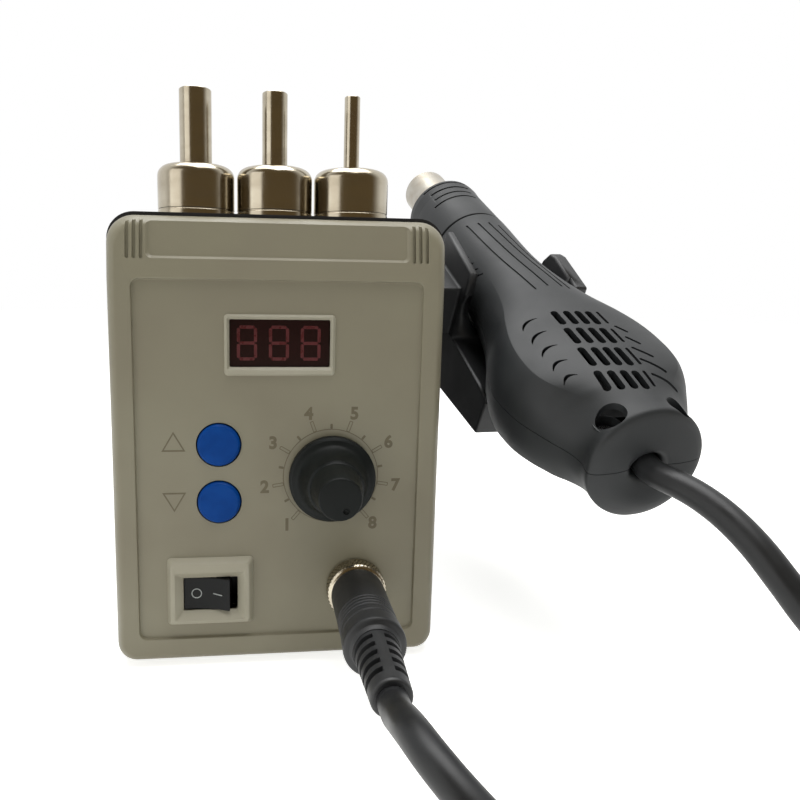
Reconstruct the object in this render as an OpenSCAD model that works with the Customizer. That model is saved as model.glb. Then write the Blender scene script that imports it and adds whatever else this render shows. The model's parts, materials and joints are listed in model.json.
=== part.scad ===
// Hot air rework station: steel case with a plastic front, a blower handset in its cradle,
// three nozzles standing on the case, and the handset's cord. Millimetres, +Z up, front towards -Y.

/* [Case] */
// Width of the front bezel
body_w = 100; // [94:1:120]
// Height of the front bezel
body_h = 136; // [130:1:164]
// Depth of the steel case behind the bezel
case_d = 141; // [117:1:170]
// Corner radius of the bezel
bezel_r = 8; // [6:1:12]
// Wall of the bezel behind its recessed panel
bezel_wall = 3; // [2.5:0.25:3]
// Height of the rim in front of the recessed panel
rim_h = 1.2; // [0.8:0.1:2]
// Thickness of the sheet steel
sheet = 1; // [0.8:0.1:1.3]
// Height of the rubber feet
foot_h = 2.2; // [1.8:0.1:4]

/* [Front panel] */
// Width of the recessed panel
panel_w = 84.5; // [80:0.5:88]
// Height of the blank band above the recessed panel
band_h = 18.3; // [15:0.1:22]
// Width of the display window
window_w = 29.6; // [25:0.1:35.5]
// Height of the display window
window_h = 14; // [11.7:0.1:16.8]
// Diameter of the push buttons
button_d = 12.7; // [10.6:0.1:15]
// Travel of the push buttons
button_travel = 1; // [0.6:0.1:1.2]
// Diameter of the potentiometer shaft
shaft_d = 6; // [5:0.1:7.2]
// Diameter of the airflow knob's skirt
knob_d = 26.3; // [22:0.1:30]
// Length of the rocker opening
rocker_w = 16.4; // [14:0.1:18]
// Height of the rocker opening
rocker_h = 10.6; // [9:0.1:12]

/* [Handset] */
// Diameter of the steel barrel, which the nozzles fit over
barrel_d = 22; // [18.4:0.1:24]
// Length of the barrel in front of the nose collar
barrel_out = 28; // [20:1:40]
// Radius of the neck and of the nose collar
neck_r = 17; // [16:0.1:17.2]
// Wall of the handset shell
shell_wall = 2; // [1.6:0.1:2.4]
// Diameter of the blower wheel
wheel_d = 38; // [32:1:40]

/* [Nozzles] */
// Height of each nozzle
nozzle_h = 39; // [33:1:47]
// Height of a nozzle's cap
nozzle_cap_h = 15.9; // [13:0.1:19]
// Wall of the nozzles
nozzle_wall = 0.8; // [0.6:0.1:1]
// Outer diameters of the three outlet tubes, left to right
nozzle_tubes = [10, 8, 5];

/* [Connector] */
// Diameter of the knurled lock ring
ring_d = 18.3; // [17.6:0.1:22]
// Diameter of the moulded plug
plug_d = 16.6; // [15:0.1:17]
// Diameter of the handset cord
cord_d = 7.5; // [6:0.1:8]

/* [Clearances] */
// Radial clearance of turning shafts
run_clear = 0.05; // [0.03:0.01:0.1]
// Gap around parts that slide or rest
slide_gap = 0.3; // [0.2:0.05:0.4]

/* [Hidden] */
$fn = 64;
eps = 0.01;

// The part's origin lies on the ground under the middle of the object's outline
centre_x = 37.5;
centre_y = 64.5;

// Heights and depths of the case, from the ground and from the recessed panel's face
bezel_z = foot_h - sheet;
bezel_top = bezel_z + body_h;
bezel_d = 8;
cover_step = 1.2;
cover_side = 0.5;
cover_top = bezel_top + cover_step;
cover_w = body_w + 2 * cover_side;
cover_r = 8;
case_side = cover_w / 2;
inner_w = cover_w - 2 * sheet;
inner_top = cover_top - sheet;
rear_y = bezel_d + case_d;
fit = 0.1;
panel_z = 9.7;
panel_h = bezel_top - band_h - panel_z;
panel_r = 2.4;

// Front panel features: x from the middle, z from the ground
window_z = bezel_top - 36.5;
button_x = -18.1;
button_down_z = 52.65;
button_up_z = button_down_z + button_d + 4.95;
button_flange_r = button_d / 2 + 1.3;
knob_x = 15.9;
knob_z = 59.9;
rocker_x = -20.9;
rocker_z = 23.7;
rocker_tilt = 10;
pivot_y = 3.5;
socket_x = 23.8;
socket_z = 24.6;
socket_r = 7.5;
boss_x = 30;
boss_zs = [9.5, inner_top - 6.5];

// Board behind the panel
board_y = 11;
board_t = 1.6;
display_d = 8;
window_t = 1.6;
window_lip = 1;
window_border = 1.2;
tact_h = 4.6;
bushing_r = 3.5;

// Handset pose: tail point, elevation of its axis, turn about Z, roll of its broad face
tail_at = [case_side + 50.5, -24, 70];
tilt = 28.7;
turn = 6;
face_roll = -8;
// Outline of the grip: distance from the tail, half width, half width of the broad face between
// its edges, height of those edges, half thickness, half width between the lower edges
round_k = 0.7071;
neck_k = round_k * neck_r;
grip_rows = [[-3.2, 12, 8.5, 8.5, 12, 8.5], [-1.6, 15.4, 10.9, 10.9, 15.4, 10.9],
             [0.4, 17.2, 12.2, 12.2, 17.2, 12.2], [3, 17, 12, 12.3, 17.1, 12.2],
             [6, 17.8, 12, 12.6, 17.2, 13], [9, 19.3, 12.3, 13.1, 17.4, 15],
             [12.3, 21.4, 12.9, 13.8, 17.7, 17.8], [16.5, 23.8, 15.6, 14.3, 18, 20.6],
             [21, 26.2, 19.7, 14.4, 18.3, 23.2], [25, 27.8, 21.9, 14.4, 18.4, 25],
             [30, 29, 23, 14.3, 18.5, 26.3], [36, 29.6, 23.3, 14.2, 18.5, 27],
             [40.5, 29.2, 23.1, 14.2, 18.5, 26.6], [46, 27.9, 22.3, 14.2, 18.5, 25.2],
             [56, 23.9, 19.6, 14, 18.4, 20.8], [66, 20.9, 16.2, 13.5, 18.1, 16.5],
             [78, 18.6, 13.6, 12.8, 17.7, 13.8], [92, neck_r, neck_k, neck_k, neck_r, neck_k],
             [134, neck_r, neck_k, neck_k, neck_r, neck_k]];
grip_sides = 32;
tail_lean = 0.19;
collar_y = 134;
collar_end = 176;
barrel_end = collar_end + barrel_out;
barrel_wall = 0.8;
barrel_step = 0.6;
seat_r = neck_r + slide_gap;

// Blower in the bulb, its axis square to the broad face
blower_y = 34;
blower_r = 24;
blower_h = 17;
blower_wall = 1.6;

// Cradle, along the handset's axis from its tail
cradle_from = 48;
cradle_to = 114;
cradle_left = 24;
cradle_right = 26;
cradle_plate = 3.5;
plate_y = [40, 82];
plate_z = [85, 131];
screw_ys = [45, 77];
screw_zs = [90, 126];

// Plug, boot and cord
ring_front = 6;
plug_end = 33;
boot_end = 57;
cord_r = cord_d / 2;
cord_sides = 10;
coil_at = [190, -64];
coil_mean_r = 40;
coil_turns = 2.85;
front_route = [[23.8, -57, 24.6], [23.8, -59, 24.6], [23.6, -63.5, 25.8], [23.6, -69, 28.1],
               [24.2, -75.4, 29.9], [26.2, -81.8, 29.5], [30, -87.7, 27], [35.5, -92.8, 22.9],
               [42, -97.1, 18.1], [49.5, -100.8, 13.2], [58, -104.2, 8.9], [67, -107, 5.9],
               [76.5, -109, 4.2], [86, -110.5, 3.8], [95.5, -111.5, 3.8], [105, -112, 3.8],
               [114.5, -111.8, 3.8], [123.5, -110.3, 3.8], [131.8, -106.9, 3.8],
               [138.8, -101.3, 3.8], [144.2, -94.2, 3.8], [148, -84.5, 3.8]];
rear_route = [[101.3, -27, 68.6], [102.2, -30.8, 67.8], [104.3, -36, 66.9], [107, -41.4, 65],
              [109.8, -47.4, 61.8], [112.5, -53.8, 57], [115.3, -60, 50.6],
              [118.6, -65.6, 43.8], [123.5, -69.5, 38], [129.5, -73.3, 33.4],
              [136.5, -77.4, 30], [144, -81.6, 27.6]];

// Places station coordinates into the part's own frame
module station() translate([-centre_x, -centre_y, 0]) children();

// Turns a shape drawn on XY so that it faces the front, its Z towards -Y
module facing() rotate([90, 0, 0]) children();

// Frame of the cradle: X right, Y along the handset's axis, Z the way it lifts out
module along_axis() station() translate(tail_at) rotate([tilt, 0, turn]) children();

// Frame of the handset: Y along its axis, Z out of its broad vented face
module in_grip() along_axis() rotate([0, face_roll, 0]) children();

// A rectangle with round corners, centred
module round_rect(w, h, r) {
    square([w - 2 * r, h], center = true);
    square([w, h - 2 * r], center = true);
    for (x = [-1, 1], y = [-1, 1])
        translate([x * (w / 2 - r), y * (h / 2 - r)]) circle(r);
}

// A plate with round corners, from y1 back to y2, centred at x, z
module front_plate(x, z, w, h, r, y1, y2)
    translate([x, y2, z]) facing() linear_extrude(y2 - y1) round_rect(w, h, r);

// A block between two corners
module block(a, b) translate(a) cube([b[0] - a[0], b[1] - a[1], b[2] - a[2]]);

// A rod along Y from y1 back to y2
module rod_y(x, z, r, y1, y2) translate([x, y2, z]) facing() cylinder(r = r, h = y2 - y1);

// A pan head screw along Z: the head above z = 0, the shank below
module pan_screw(head_r, head_h, shank_r, shank_l) {
    difference() {
        cylinder(r = head_r, h = head_h);
        for (a = [0, 90])
            rotate([0, 0, a])
                translate([-head_r * 0.55, -0.35, head_h - 0.8]) cube([head_r * 1.1, 0.7, 1]);
    }
    translate([0, 0, -shank_l]) cylinder(r = shank_r, h = shank_l + eps);
}

// Front bezel: rounded rim, recessed panel, window frame, switch frame, openings and bosses
module bezel_slice(y, inset)
    front_plate(0, bezel_z + body_h / 2, body_w - 2 * inset, body_h - 2 * inset,
                bezel_r - inset / 2, y - eps, y, $fn = 32);

module raised_frame(x, z, w, h, high, slope) hull() {
    front_plate(x, z, w, h, 1, -eps, 0.2, $fn = 16);
    front_plate(x, z, w - 2 * slope, h - 2 * slope, 1, -high, -high + eps, $fn = 16);
}

module front_bezel() color("#cfc9b6") station() {
    difference() {
        union() {
            difference() {
                union() {
                    hull() {
                        bezel_slice(-rim_h, 3.6);
                        bezel_slice(-rim_h + 0.5, 1.9);
                        bezel_slice(1, 0.8);
                        bezel_slice(3.6, 0.3);
                        bezel_slice(6.7, 0);
                    }
                    front_plate(0, bezel_z + body_h / 2, body_w, body_h, bezel_r,
                                6.7 - eps, bezel_d);
                }
                front_plate(0, panel_z + panel_h / 2, panel_w, panel_h, panel_r, -10, 0);
                front_plate(0, bezel_z + body_h / 2, body_w - 5, body_h - 5, bezel_r - 2.5,
                            bezel_wall, bezel_d + 1);
                front_plate(0, bezel_top - band_h / 2 + 1.45, panel_w - 9, 10.8, 1.5,
                            -10, -rim_h + 0.4);
                for (side = [-1, 1], i = [0 : 2])
                    block([side * (39.4 + 1.95 * i) - 0.4, -3, bezel_top - 12.7],
                          [side * (39.4 + 1.95 * i) + 0.4, -rim_h + 0.6, bezel_top - 1.6]);
            }
            raised_frame(0, window_z, window_w + 3.6, window_h + 4.6, 0.9, 0.9);
            raised_frame(rocker_x, rocker_z + 0.9, rocker_w + 9.8, rocker_h + 10.9, 2.6, 1.4);
            for (x = [-boss_x, boss_x], z = boss_zs)
                rod_y(x, z, 3.4, bezel_wall - 0.5, bezel_d);
        }
        front_plate(0, window_z, window_w, window_h, 0.5, -5, 5);
        front_plate(0, window_z, window_w + 2 * window_border + 2 * fit,
                    window_h + 2 * window_border + 2 * fit, 0.5, window_lip, 5);
        for (z = [button_up_z, button_down_z])
            rod_y(button_x, z, button_d / 2 + slide_gap, -5, 5);
        rod_y(knob_x, knob_z, bushing_r + fit, -5, 5);
        rod_y(socket_x, socket_z, socket_r + fit, -5, 5);
        front_plate(rocker_x, rocker_z, rocker_w, rocker_h, 0.4, -5, 5);
        translate([rocker_x, -0.6, rocker_z]) rocker_mouth();
        for (x = [-boss_x, boss_x], z = boss_zs)
            rod_y(x, z, 1.3, 2.2, bezel_d + 1);
    }
}

// Sloping mouth of the rocker opening: four planes from the frame's front down to the opening
module rocker_mouth() {
    wide = [rocker_w / 2 + 2.2, rocker_h / 2 + 2.2];
    facing() hull() {
        linear_extrude(eps) square([rocker_w, rocker_h], center = true);
        translate([0, 0, 2.1]) linear_extrude(eps) square(2 * wide, center = true);
    }
}

// Steel cover: two sides and a top in one bent sheet, with a flange at each end of the top
module arch(w, top, r) {
    translate([-w / 2, foot_h]) square([w, top - foot_h - r]);
    translate([-w / 2 + r, foot_h]) square([w - 2 * r, top - foot_h]);
    for (side = [-1, 1]) translate([side * (w / 2 - r), top - r]) circle(r);
}

slot_count = 9;
slot_pitch = 6;
flange_h = 12;

module case_cover() color("#1d1e20") station() {
    difference() {
        union() {
            translate([0, rear_y, 0]) facing() linear_extrude(case_d) difference() {
                arch(cover_w, cover_top, cover_r);
                translate([0, -1]) arch(inner_w, inner_top + 1, cover_r - sheet);
            }
            for (y = [bezel_d, rear_y - 2 * sheet])
                block([-38, y, inner_top - flange_h], [38, y + sheet, inner_top + eps]);
        }
        for (side = [-1, 1], i = [0 : slot_count - 1])
            block([side * case_side - 3, rear_y - 22 - slot_pitch * i, 30],
                  [side * case_side + 3, rear_y - 19.6 - slot_pitch * i, 58]);
        for (side = [-1, 1], y = [28, rear_y - 14])
            translate([side * case_side - 3, y, foot_h + 7]) rotate([0, 90, 0])
                cylinder(r = 1.6, h = 6);
        for (y = screw_ys, z = screw_zs)
            translate([case_side - 3, y, z]) rotate([0, 90, 0])
                cylinder(r = 1.5 + run_clear, h = 6);
        for (x = [-boss_x, boss_x]) rod_y(x, boss_zs[1], 1.6, 5, 12);
        for (x = [-boss_x, boss_x]) rod_y(x, inner_top - 6.5, 1.3, rear_y - 5, rear_y + 2);
    }
}

// Base tray: floor plate with upturned edges on all four sides
tray_w = inner_w - 2 * fit;
tray_top = foot_h + sheet;
transformer_y = rear_y - 29;
foot_x = body_w / 2 - 12;
foot_ys = [20, rear_y - 12];
standoff_xs = [-38, 38];
board_end = transformer_y - 26;
standoff_ys = [26, board_end - 6];

module base_tray() color("#9da1a5") station() {
    difference() {
        union() {
            block([-tray_w / 2, bezel_d, foot_h], [tray_w / 2, rear_y - sheet, tray_top]);
            for (side = [-1, 1])
                block([side * (tray_w - sheet) / 2 - sheet / 2, bezel_d + sheet, foot_h],
                      [side * (tray_w - sheet) / 2 + sheet / 2, rear_y - 2 * sheet,
                       foot_h + flange_h]);
            for (y = [bezel_d, rear_y - 2 * sheet])
                block([-40, y, foot_h], [40, y + sheet, foot_h + flange_h]);
        }
        for (x = [-boss_x, boss_x]) rod_y(x, boss_zs[0], 1.6, 5, 12);
        for (x = [-boss_x, boss_x]) rod_y(x, foot_h + 7, 1.3, rear_y - 5, rear_y + 2);
        for (side = [-1, 1], y = [28, rear_y - 14])
            translate([side * case_side - 5, y, foot_h + 7]) rotate([0, 90, 0])
                cylinder(r = 1.3, h = 10);
        for (x = standoff_xs, y = standoff_ys)
            translate([x, y, foot_h - 1]) cylinder(r = 1.6, h = 5);
        for (x = [-29, 29]) translate([x, transformer_y, foot_h - 1]) cylinder(r = 1.6, h = 5);
    }
}

inlet_x = -18;
inlet_z = 62;
fuse_x = 26;
fuse_z = 62;

module rear_panel() color("#26272a") station() {
    difference() {
        block([-tray_w / 2, rear_y - sheet, foot_h], [tray_w / 2, rear_y, inner_top - fit]);
        for (side = [-1, 1])
            translate([side * (tray_w / 2 - cover_r), rear_y + 1, inner_top - fit - cover_r])
                facing() linear_extrude(4) difference() {
                    translate([side * 2 - (side < 0 ? 8 : 0), 0]) square([8, 8]);
                    circle(cover_r - sheet);
                }
        front_plate(inlet_x, inlet_z, 27.6 + 2 * fit, 19.6 + 2 * fit, 2, rear_y - 3, rear_y + 1);
        for (x = [-20, 20]) rod_y(inlet_x + x, inlet_z, 1.6, rear_y - 3, rear_y + 1);
        rod_y(fuse_x, fuse_z, 6 + fit, rear_y - 3, rear_y + 1);
        for (x = [-boss_x, boss_x], z = [foot_h + 7, inner_top - 6.5])
            rod_y(x, z, 1.6, rear_y - 3, rear_y + 1);
        for (i = [-5 : 5])
            block([i * slot_pitch - 1.2, rear_y - 3, 84], [i * slot_pitch + 1.2, rear_y + 1, 116]);
    }
}

module rubber_feet() color("#202021") station()
    for (x = [-foot_x, foot_x], y = foot_ys) translate([x, y, 0]) cylinder(r = 7, h = foot_h);

// Screws that hold the cover and the rear panel
module case_screws() color("#8d9196") station() {
    for (side = [-1, 1], y = [28, rear_y - 14])
        translate([side * case_side, y, foot_h + 7]) rotate([0, side * 90, 0])
            pan_screw(2.8, 1.8, 1.3 - run_clear, 5);
    for (x = [-boss_x, boss_x], z = [foot_h + 7, inner_top - 6.5])
        translate([x, rear_y, z]) rotate([-90, 0, 0])
            pan_screw(2.8, 1.8, 1.3 - run_clear, 5);
}

module bezel_screws() color("#8d9196") station()
    for (x = [-boss_x, boss_x], z = boss_zs)
        translate([x, bezel_d + sheet, z]) rotate([-90, 0, 0])
            pan_screw(2.8, 1.6, 1.3 - run_clear, 6);

module display_window() color("#3a0d0c") station()
    front_plate(0, window_z, window_w + 2 * window_border, window_h + 2 * window_border, 0.4,
                window_lip, window_lip + window_t);

// Three digit display, soldered to the board, its face just behind the window
module display_module() color("#1b1416") station() {
    front_plate(0, window_z, window_w + 0.8, window_h, 0.4, board_y - display_d, board_y);
    for (i = [-5 : 5], side = [-1, 1])
        rod_y(i * 2.5, window_z + side * 5, 0.3, board_y - 1, board_y + board_t + 1);
}

pot_w = 16;
pot_top = 5;
board_z = [40, window_z + 15];

module front_board() color("#2f6b3c") station() difference() {
    block([-40, board_y, board_z[0]], [40, board_y + board_t, board_z[1]]);
    for (i = [-5 : 5], side = [-1, 1])
        rod_y(i * 2.5, window_z + side * 5, 0.35, board_y - 1, board_y + board_t + 1);
    for (x = [-35, 35], z = [board_z[0] + 5, board_z[1] - 5])
        rod_y(x, z, 1.6, board_y - 1, board_y + board_t + 1);
}

// Spacers between the bezel and the board, each with its screw's head behind the board
module board_posts() color("#c9b26a") station()
    for (x = [-35, 35], z = [board_z[0] + 5, board_z[1] - 5]) {
        rod_y(x, z, 2.6, bezel_wall, board_y);
        rod_y(x, z, 1.5, board_y - 1, board_y + board_t + eps);
        rod_y(x, z, 2.6, board_y + board_t, board_y + board_t + 1.8);
    }

module tact_switches() color("#303236") station()
    for (z = [button_up_z, button_down_z]) {
        block([button_x - 3, board_y - tact_h + 1.3, z - 3], [button_x + 3, board_y, z + 3]);
        rod_y(button_x, z, 1.7, board_y - tact_h, board_y - 1);
    }

// Push button: low dome in front, flange and stem behind the panel
module push_button(z) {
    translate([button_x, bezel_wall + slide_gap + 1, z]) facing() rotate_extrude() polygon([
        [0, 0], [button_flange_r, 0], [button_flange_r, 1], [button_d / 2, 1],
        [button_d / 2, bezel_wall + slide_gap + 2.4], [button_d / 2 - 0.6, bezel_wall + 3.4],
        [button_d / 2 - 2.4, bezel_wall + 3.8], [0, bezel_wall + 4.2]]);
    rod_y(button_x, z, 2, bezel_wall + 1, board_y - tact_h - button_travel - 0.1);
}

module button_up() color("#1450a8") station() push_button(button_up_z);
module button_down() color("#1450a8") station() push_button(button_down_z);

// Potentiometer: body on the board, threaded bushing through the panel
module potentiometer() color("#6d7176") station() difference() {
    union() {
        block([knob_x - pot_w / 2, pot_top, knob_z - pot_w / 2],
              [knob_x + pot_w / 2, board_y, knob_z + pot_w / 2]);
        rod_y(knob_x, knob_z, bushing_r, -2.6, pot_top + 1);
    }
    rod_y(knob_x, knob_z, shaft_d / 2 - 0.5 + run_clear, -5, board_y - 1.2);
}

module pot_nut() color("#b9bcc0") station() difference() {
    translate([knob_x, 0, knob_z]) facing() cylinder(r = 5.8, h = 2, $fn = 6);
    rod_y(knob_x, knob_z, bushing_r + 0.02, -5, 1);
}

knob_top = 22.6;
module pot_shaft() color("#c4c7ca") station() {
    rod_y(knob_x, knob_z, shaft_d / 2 - 0.5, -3, board_y - 1.4);
    rod_y(knob_x, knob_z, shaft_d / 2, -knob_top + 4, -2.9);
}

// Airflow knob: skirt, cone and round cap with a pointer dimple
module airflow_knob() color("#2b2e30") station() difference() {
    translate([knob_x, 0, knob_z]) facing() rotate_extrude() polygon([
        [0, 3.2], [8, 3.2], [8, 0.6], [knob_d / 2 - 0.5, 0.6], [knob_d / 2, 1], [knob_d / 2, 3.2],
        [knob_d / 2 - 0.8, 3.9], [10.6, 5.2], [9.2, 7.6], [8.3, 11.4],
        [7.5, 12.2], [6.28, knob_top - 0.5], [5.8, knob_top], [0, knob_top]]);
    rod_y(knob_x, knob_z, shaft_d / 2 + 0.02, -knob_top + 4, 1);
    translate([knob_x + 1.65, -knob_top - 0.2, knob_z - 3.35]) sphere(0.8, $fn = 24);
}

// Power switch: open box with bearing holes for the rocker's pins
house_w = rocker_w + 3.2;
house_h = rocker_h + 5;
house_d = 14;
pin_r = 1.1;

module rocker_housing() color("#1c1d1f") station() difference() {
    block([rocker_x - house_w / 2, bezel_wall, rocker_z - house_h / 2],
          [rocker_x + house_w / 2, bezel_wall + house_d, rocker_z + house_h / 2]);
    block([rocker_x - rocker_w / 2, bezel_wall - 1, rocker_z - rocker_h / 2],
          [rocker_x + rocker_w / 2, bezel_wall + 7, rocker_z + rocker_h / 2]);
    translate([rocker_x, pivot_y + pin_r + run_clear + 0.4, rocker_z - rocker_h / 2 - 1.5])
        cylinder(r = pin_r + run_clear, h = rocker_h + 3);
}

// Rocker at rest: left end pressed in, its pins in the housing
module rocker() color("#151617") station()
    translate([rocker_x, pivot_y + pin_r + run_clear + 0.4, rocker_z]) {
        rotate([0, 0, -rocker_tilt])
            translate([0, 0, -rocker_h / 2 + 0.2]) linear_extrude(rocker_h - 0.4)
                polygon([[-7.1, -6.4], [-3.6, -5.7], [0, -5.5], [3.6, -5.7], [7.1, -6.4],
                         [6, 0.6], [2, 3], [-2, 3], [-6, 0.6]]);
        translate([0, 0, -rocker_h / 2 - 1.2]) cylinder(r = pin_r, h = rocker_h + 2.4);
    }

// Panel socket for the handset's plug: threaded shell, flange and rear contacts
module socket_shell() color("#b3b5b3") station() {
    difference() {
        union() {
            rod_y(socket_x, socket_z, socket_r, -5, 14);
            rod_y(socket_x, socket_z, 10, bezel_wall, bezel_wall + 1.6);
        }
        rod_y(socket_x, socket_z, socket_r - 1.6, 10, 15);
    }
    for (i = [0 : 7])
        rod_y(socket_x + 4 * cos(45 * i), socket_z + 4 * sin(45 * i), 0.6, 9, 17);
}

module socket_nut() color("#9c9e9c") station() difference() {
    translate([socket_x, bezel_wall + 1.6 + 2.2, socket_z]) facing()
        cylinder(r = 10.4, h = 2.2, $fn = 6);
    rod_y(socket_x, socket_z, socket_r + 0.02, 0, 10);
}

// Lock ring of the plug, which turns on the socket
module lock_ring() color("#c8c4b4") station() difference() {
    translate([socket_x, 0, socket_z]) facing() rotate_extrude() polygon([
        [7.2, 0.5], [ring_d / 2 - 0.5, 0.5], [ring_d / 2, 1], [ring_d / 2, ring_front - 1],
        [ring_d / 2 - 0.6, ring_front - 0.3], [ring_d / 2 - 1, ring_front], [7.2, ring_front]]);
    rod_y(socket_x, socket_z, socket_r + 2 * run_clear, -10, 1);
}

module plug_body() color("#232425") station() {
    translate([socket_x, 0, socket_z]) facing() rotate_extrude() polygon([
        [0, 5], [socket_r - 0.2, 5], [socket_r - 0.2, ring_front + 0.2],
        [plug_d / 2 - 0.2, ring_front + 0.2], [plug_d / 2, ring_front + 0.6],
        [plug_d / 2 - 0.2, 19], [plug_d / 2 + 0.2, 19.4], [plug_d / 2 + 0.2, 27],
        [plug_d / 2 - 0.6, 29.6], [plug_d / 2 - 1.4, 31.2], [6.2, plug_end], [0, plug_end]]);
}

// Slotted bend relief between the plug and the cord
slot_rows = 5;
module strain_relief() color("#232425") station() difference() {
    translate([socket_x, 0, socket_z]) facing() rotate_extrude() polygon([
        [0, plug_end], [6.1, plug_end], [cord_r + 0.8, boot_end - 0.5],
        [cord_r + 0.4, boot_end], [0, boot_end]]);
    for (i = [0 : slot_rows - 1], side = [-1, 1])
        translate([socket_x + side * 5.2, -plug_end - 3.8 - 3.8 * i, socket_z])
            cube([7.6, 1.7, 14], center = true);
}

// A tube along a list of points: a ring of corners square to the route at each point
function unit(v) = v / norm(v);
function heading(p, i) = unit(p[min(i + 1, len(p) - 1)] - p[max(i - 1, 0)]);
function across(h) = unit(cross(h, [0, 0, 1]));
function ring_at(p, i, r, n) =
    let (h = heading(p, i), s = across(h), u = cross(s, h))
    [for (k = [0 : n - 1]) p[i] + r * (cos(360 * k / n) * s + sin(360 * k / n) * u)];
function tube_points(p, r, n) = [for (i = [0 : len(p) - 1]) each ring_at(p, i, r, n)];
function skin_faces(rows, n) = concat(
    [[for (k = [0 : n - 1]) k]],
    [for (i = [0 : rows - 2], k = [0 : n - 1], half = [0, 1])
        let (a = i * n + k, b = i * n + (k + 1) % n)
        half == 0 ? [a, a + n, b] : [b, a + n, b + n]],
    [[for (k = [n - 1 : -1 : 0]) (rows - 1) * n + k]]);
module tube(p) polyhedron(tube_points(p, cord_r, cord_sides), skin_faces(len(p), cord_sides));

module cord_front() color("#1b1c1d") station() tube(front_route);
module cord_rear() color("#1b1c1d") station() tube(rear_route);
module cord_coil() color("#1b1c1d") station() translate([coil_at[0], coil_at[1], 0])
    rotate_extrude() translate([coil_mean_r - cord_r, 0])
        square([cord_d, cord_d * (coil_turns + 1)]);

// Main board on four standoffs, and what is soldered to it
main_z = tray_top + 6;
main_t = 1.6;
main_top = main_z + main_t;
main_y = 21;
sink_from = main_y + 19;
sink_to = board_end - 20;
triac_y = (sink_from + sink_to) / 2;
terminal_y = board_end - 12;
film_y = (main_y + 20 + terminal_y) / 2 + 3;

module main_board() color("#2f6b3c") station() difference() {
    block([-43, main_y, main_z], [43, board_end, main_top]);
    for (x = standoff_xs, y = standoff_ys) translate([x, y, main_z - 1]) cylinder(r = 1.6, h = 4);
}

module board_standoffs() color("#c9b26a") station() for (x = standoff_xs, y = standoff_ys) {
    translate([x, y, tray_top]) cylinder(r = 2.8, h = main_z - tray_top, $fn = 6);
    translate([x, y, main_z - 1]) cylinder(r = 1.5, h = main_t + 1 + eps);
    translate([x, y, main_top]) cylinder(r = 2.8, h = 1.8);
}

core_h = 42;
core_w = 50;
core_t = 20;
limb = 10;
module transformer_core() color("#5b5e62") station() {
    difference() {
        translate([-core_w / 2, transformer_y - core_t / 2, tray_top])
            cube([core_w, core_t, core_h]);
        for (side = [-1, 1])
            block([side * 12.5 - 6.5, transformer_y - core_t, tray_top + limb],
                  [side * 12.5 + 6.5, transformer_y + core_t, tray_top + core_h - limb]);
    }
    difference() {
        block([-35, transformer_y - 7, tray_top], [35, transformer_y + 7, tray_top + 1.2]);
        for (x = [-29, 29]) translate([x, transformer_y, 0]) cylinder(r = 1.8, h = 9);
        block([-core_w / 2 + eps, transformer_y - 8, 0], [core_w / 2 - eps, transformer_y + 8, 9]);
    }
}

module transformer_coil() color("#b98a3c") station() difference() {
    block([-18.4, transformer_y - core_t / 2 - 7, tray_top + limb + 0.4],
          [18.4, transformer_y + core_t / 2 + 7, tray_top + core_h - limb - 0.4]);
    block([-6 - 0.2, transformer_y - core_t / 2 - 0.2, tray_top],
          [6 + 0.2, transformer_y + core_t / 2 + 0.2, tray_top + core_h]);
}

module transformer_screws() color("#8d9196") station()
    for (x = [-29, 29]) translate([x, transformer_y, tray_top + 1.2])
        pan_screw(3, 2, 1.5, 1.2 + sheet + 1);

sink_x = -34;
module heat_sink() color("#a9adb1") station() {
    block([sink_x - 1.2, sink_from, main_top], [sink_x + 1.2, sink_to, main_top + 30]);
    for (i = [0 : 6])
        translate([0, sink_from + i * (sink_to - sink_from - 1.6) / 6, 0])
            block([sink_x - 7, 0, main_top], [sink_x - 1, 1.4, main_top + 30]);
}

module triac() color("#1f2023") station() {
    block([sink_x + 1.2, triac_y - 5, main_top + 8], [sink_x + 5.6, triac_y + 5, main_top + 23]);
    for (i = [-1 : 1])
        block([sink_x + 3, triac_y - 0.4 + 2.5 * i, main_top],
              [sink_x + 3.6, triac_y + 0.4 + 2.5 * i, main_top + 8]);
}

module capacitors() color("#27303f") station() {
    translate([-14, main_y + 15, main_top]) cylinder(r = 8, h = 25);
    translate([6, main_y + 15, main_top]) cylinder(r = 5, h = 16);
    block([-4, film_y - 4.5, main_top], [22, film_y + 4.5, main_top + 15]);
}

module terminal_blocks() color("#3b7d46") station() for (x = [-12, 16])
    difference() {
        block([x - 12, terminal_y, main_top], [x + 12, terminal_y + 10, main_top + 11]);
        for (i = [-2 : 2])
            translate([x + 4.8 * i, terminal_y + 5, main_top + 7]) cylinder(r = 1.6, h = 9);
    }

// Mains inlet: flange on the rear panel, socket body inside with three flat pins
module mains_inlet() color("#17181a") station() {
    difference() {
        union() {
            front_plate(inlet_x, inlet_z, 48, 24, 3, rear_y, rear_y + 3);
            front_plate(inlet_x, inlet_z, 27.6, 19.6, 2, rear_y - 18, rear_y + 1);
        }
        front_plate(inlet_x, inlet_z, 24.4, 16.4, 3, rear_y - 14, rear_y + 4);
        for (x = [-20, 20]) rod_y(inlet_x + x, inlet_z, 1.6, rear_y - 3, rear_y + 4);
    }
    for (p = [[-7, -2.5], [0, 2.5], [7, -2.5]])
        block([inlet_x + p[0] - 1, rear_y - 24, inlet_z + p[1] - 2],
              [inlet_x + p[0] + 1, rear_y - 1, inlet_z + p[1] + 2]);
}

module inlet_screws() color("#8d9196") station() for (x = [-20, 20])
    translate([inlet_x + x, rear_y + 3, inlet_z]) rotate([-90, 0, 0])
        pan_screw(2.8, 1.8, 1.5, 8);

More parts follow.
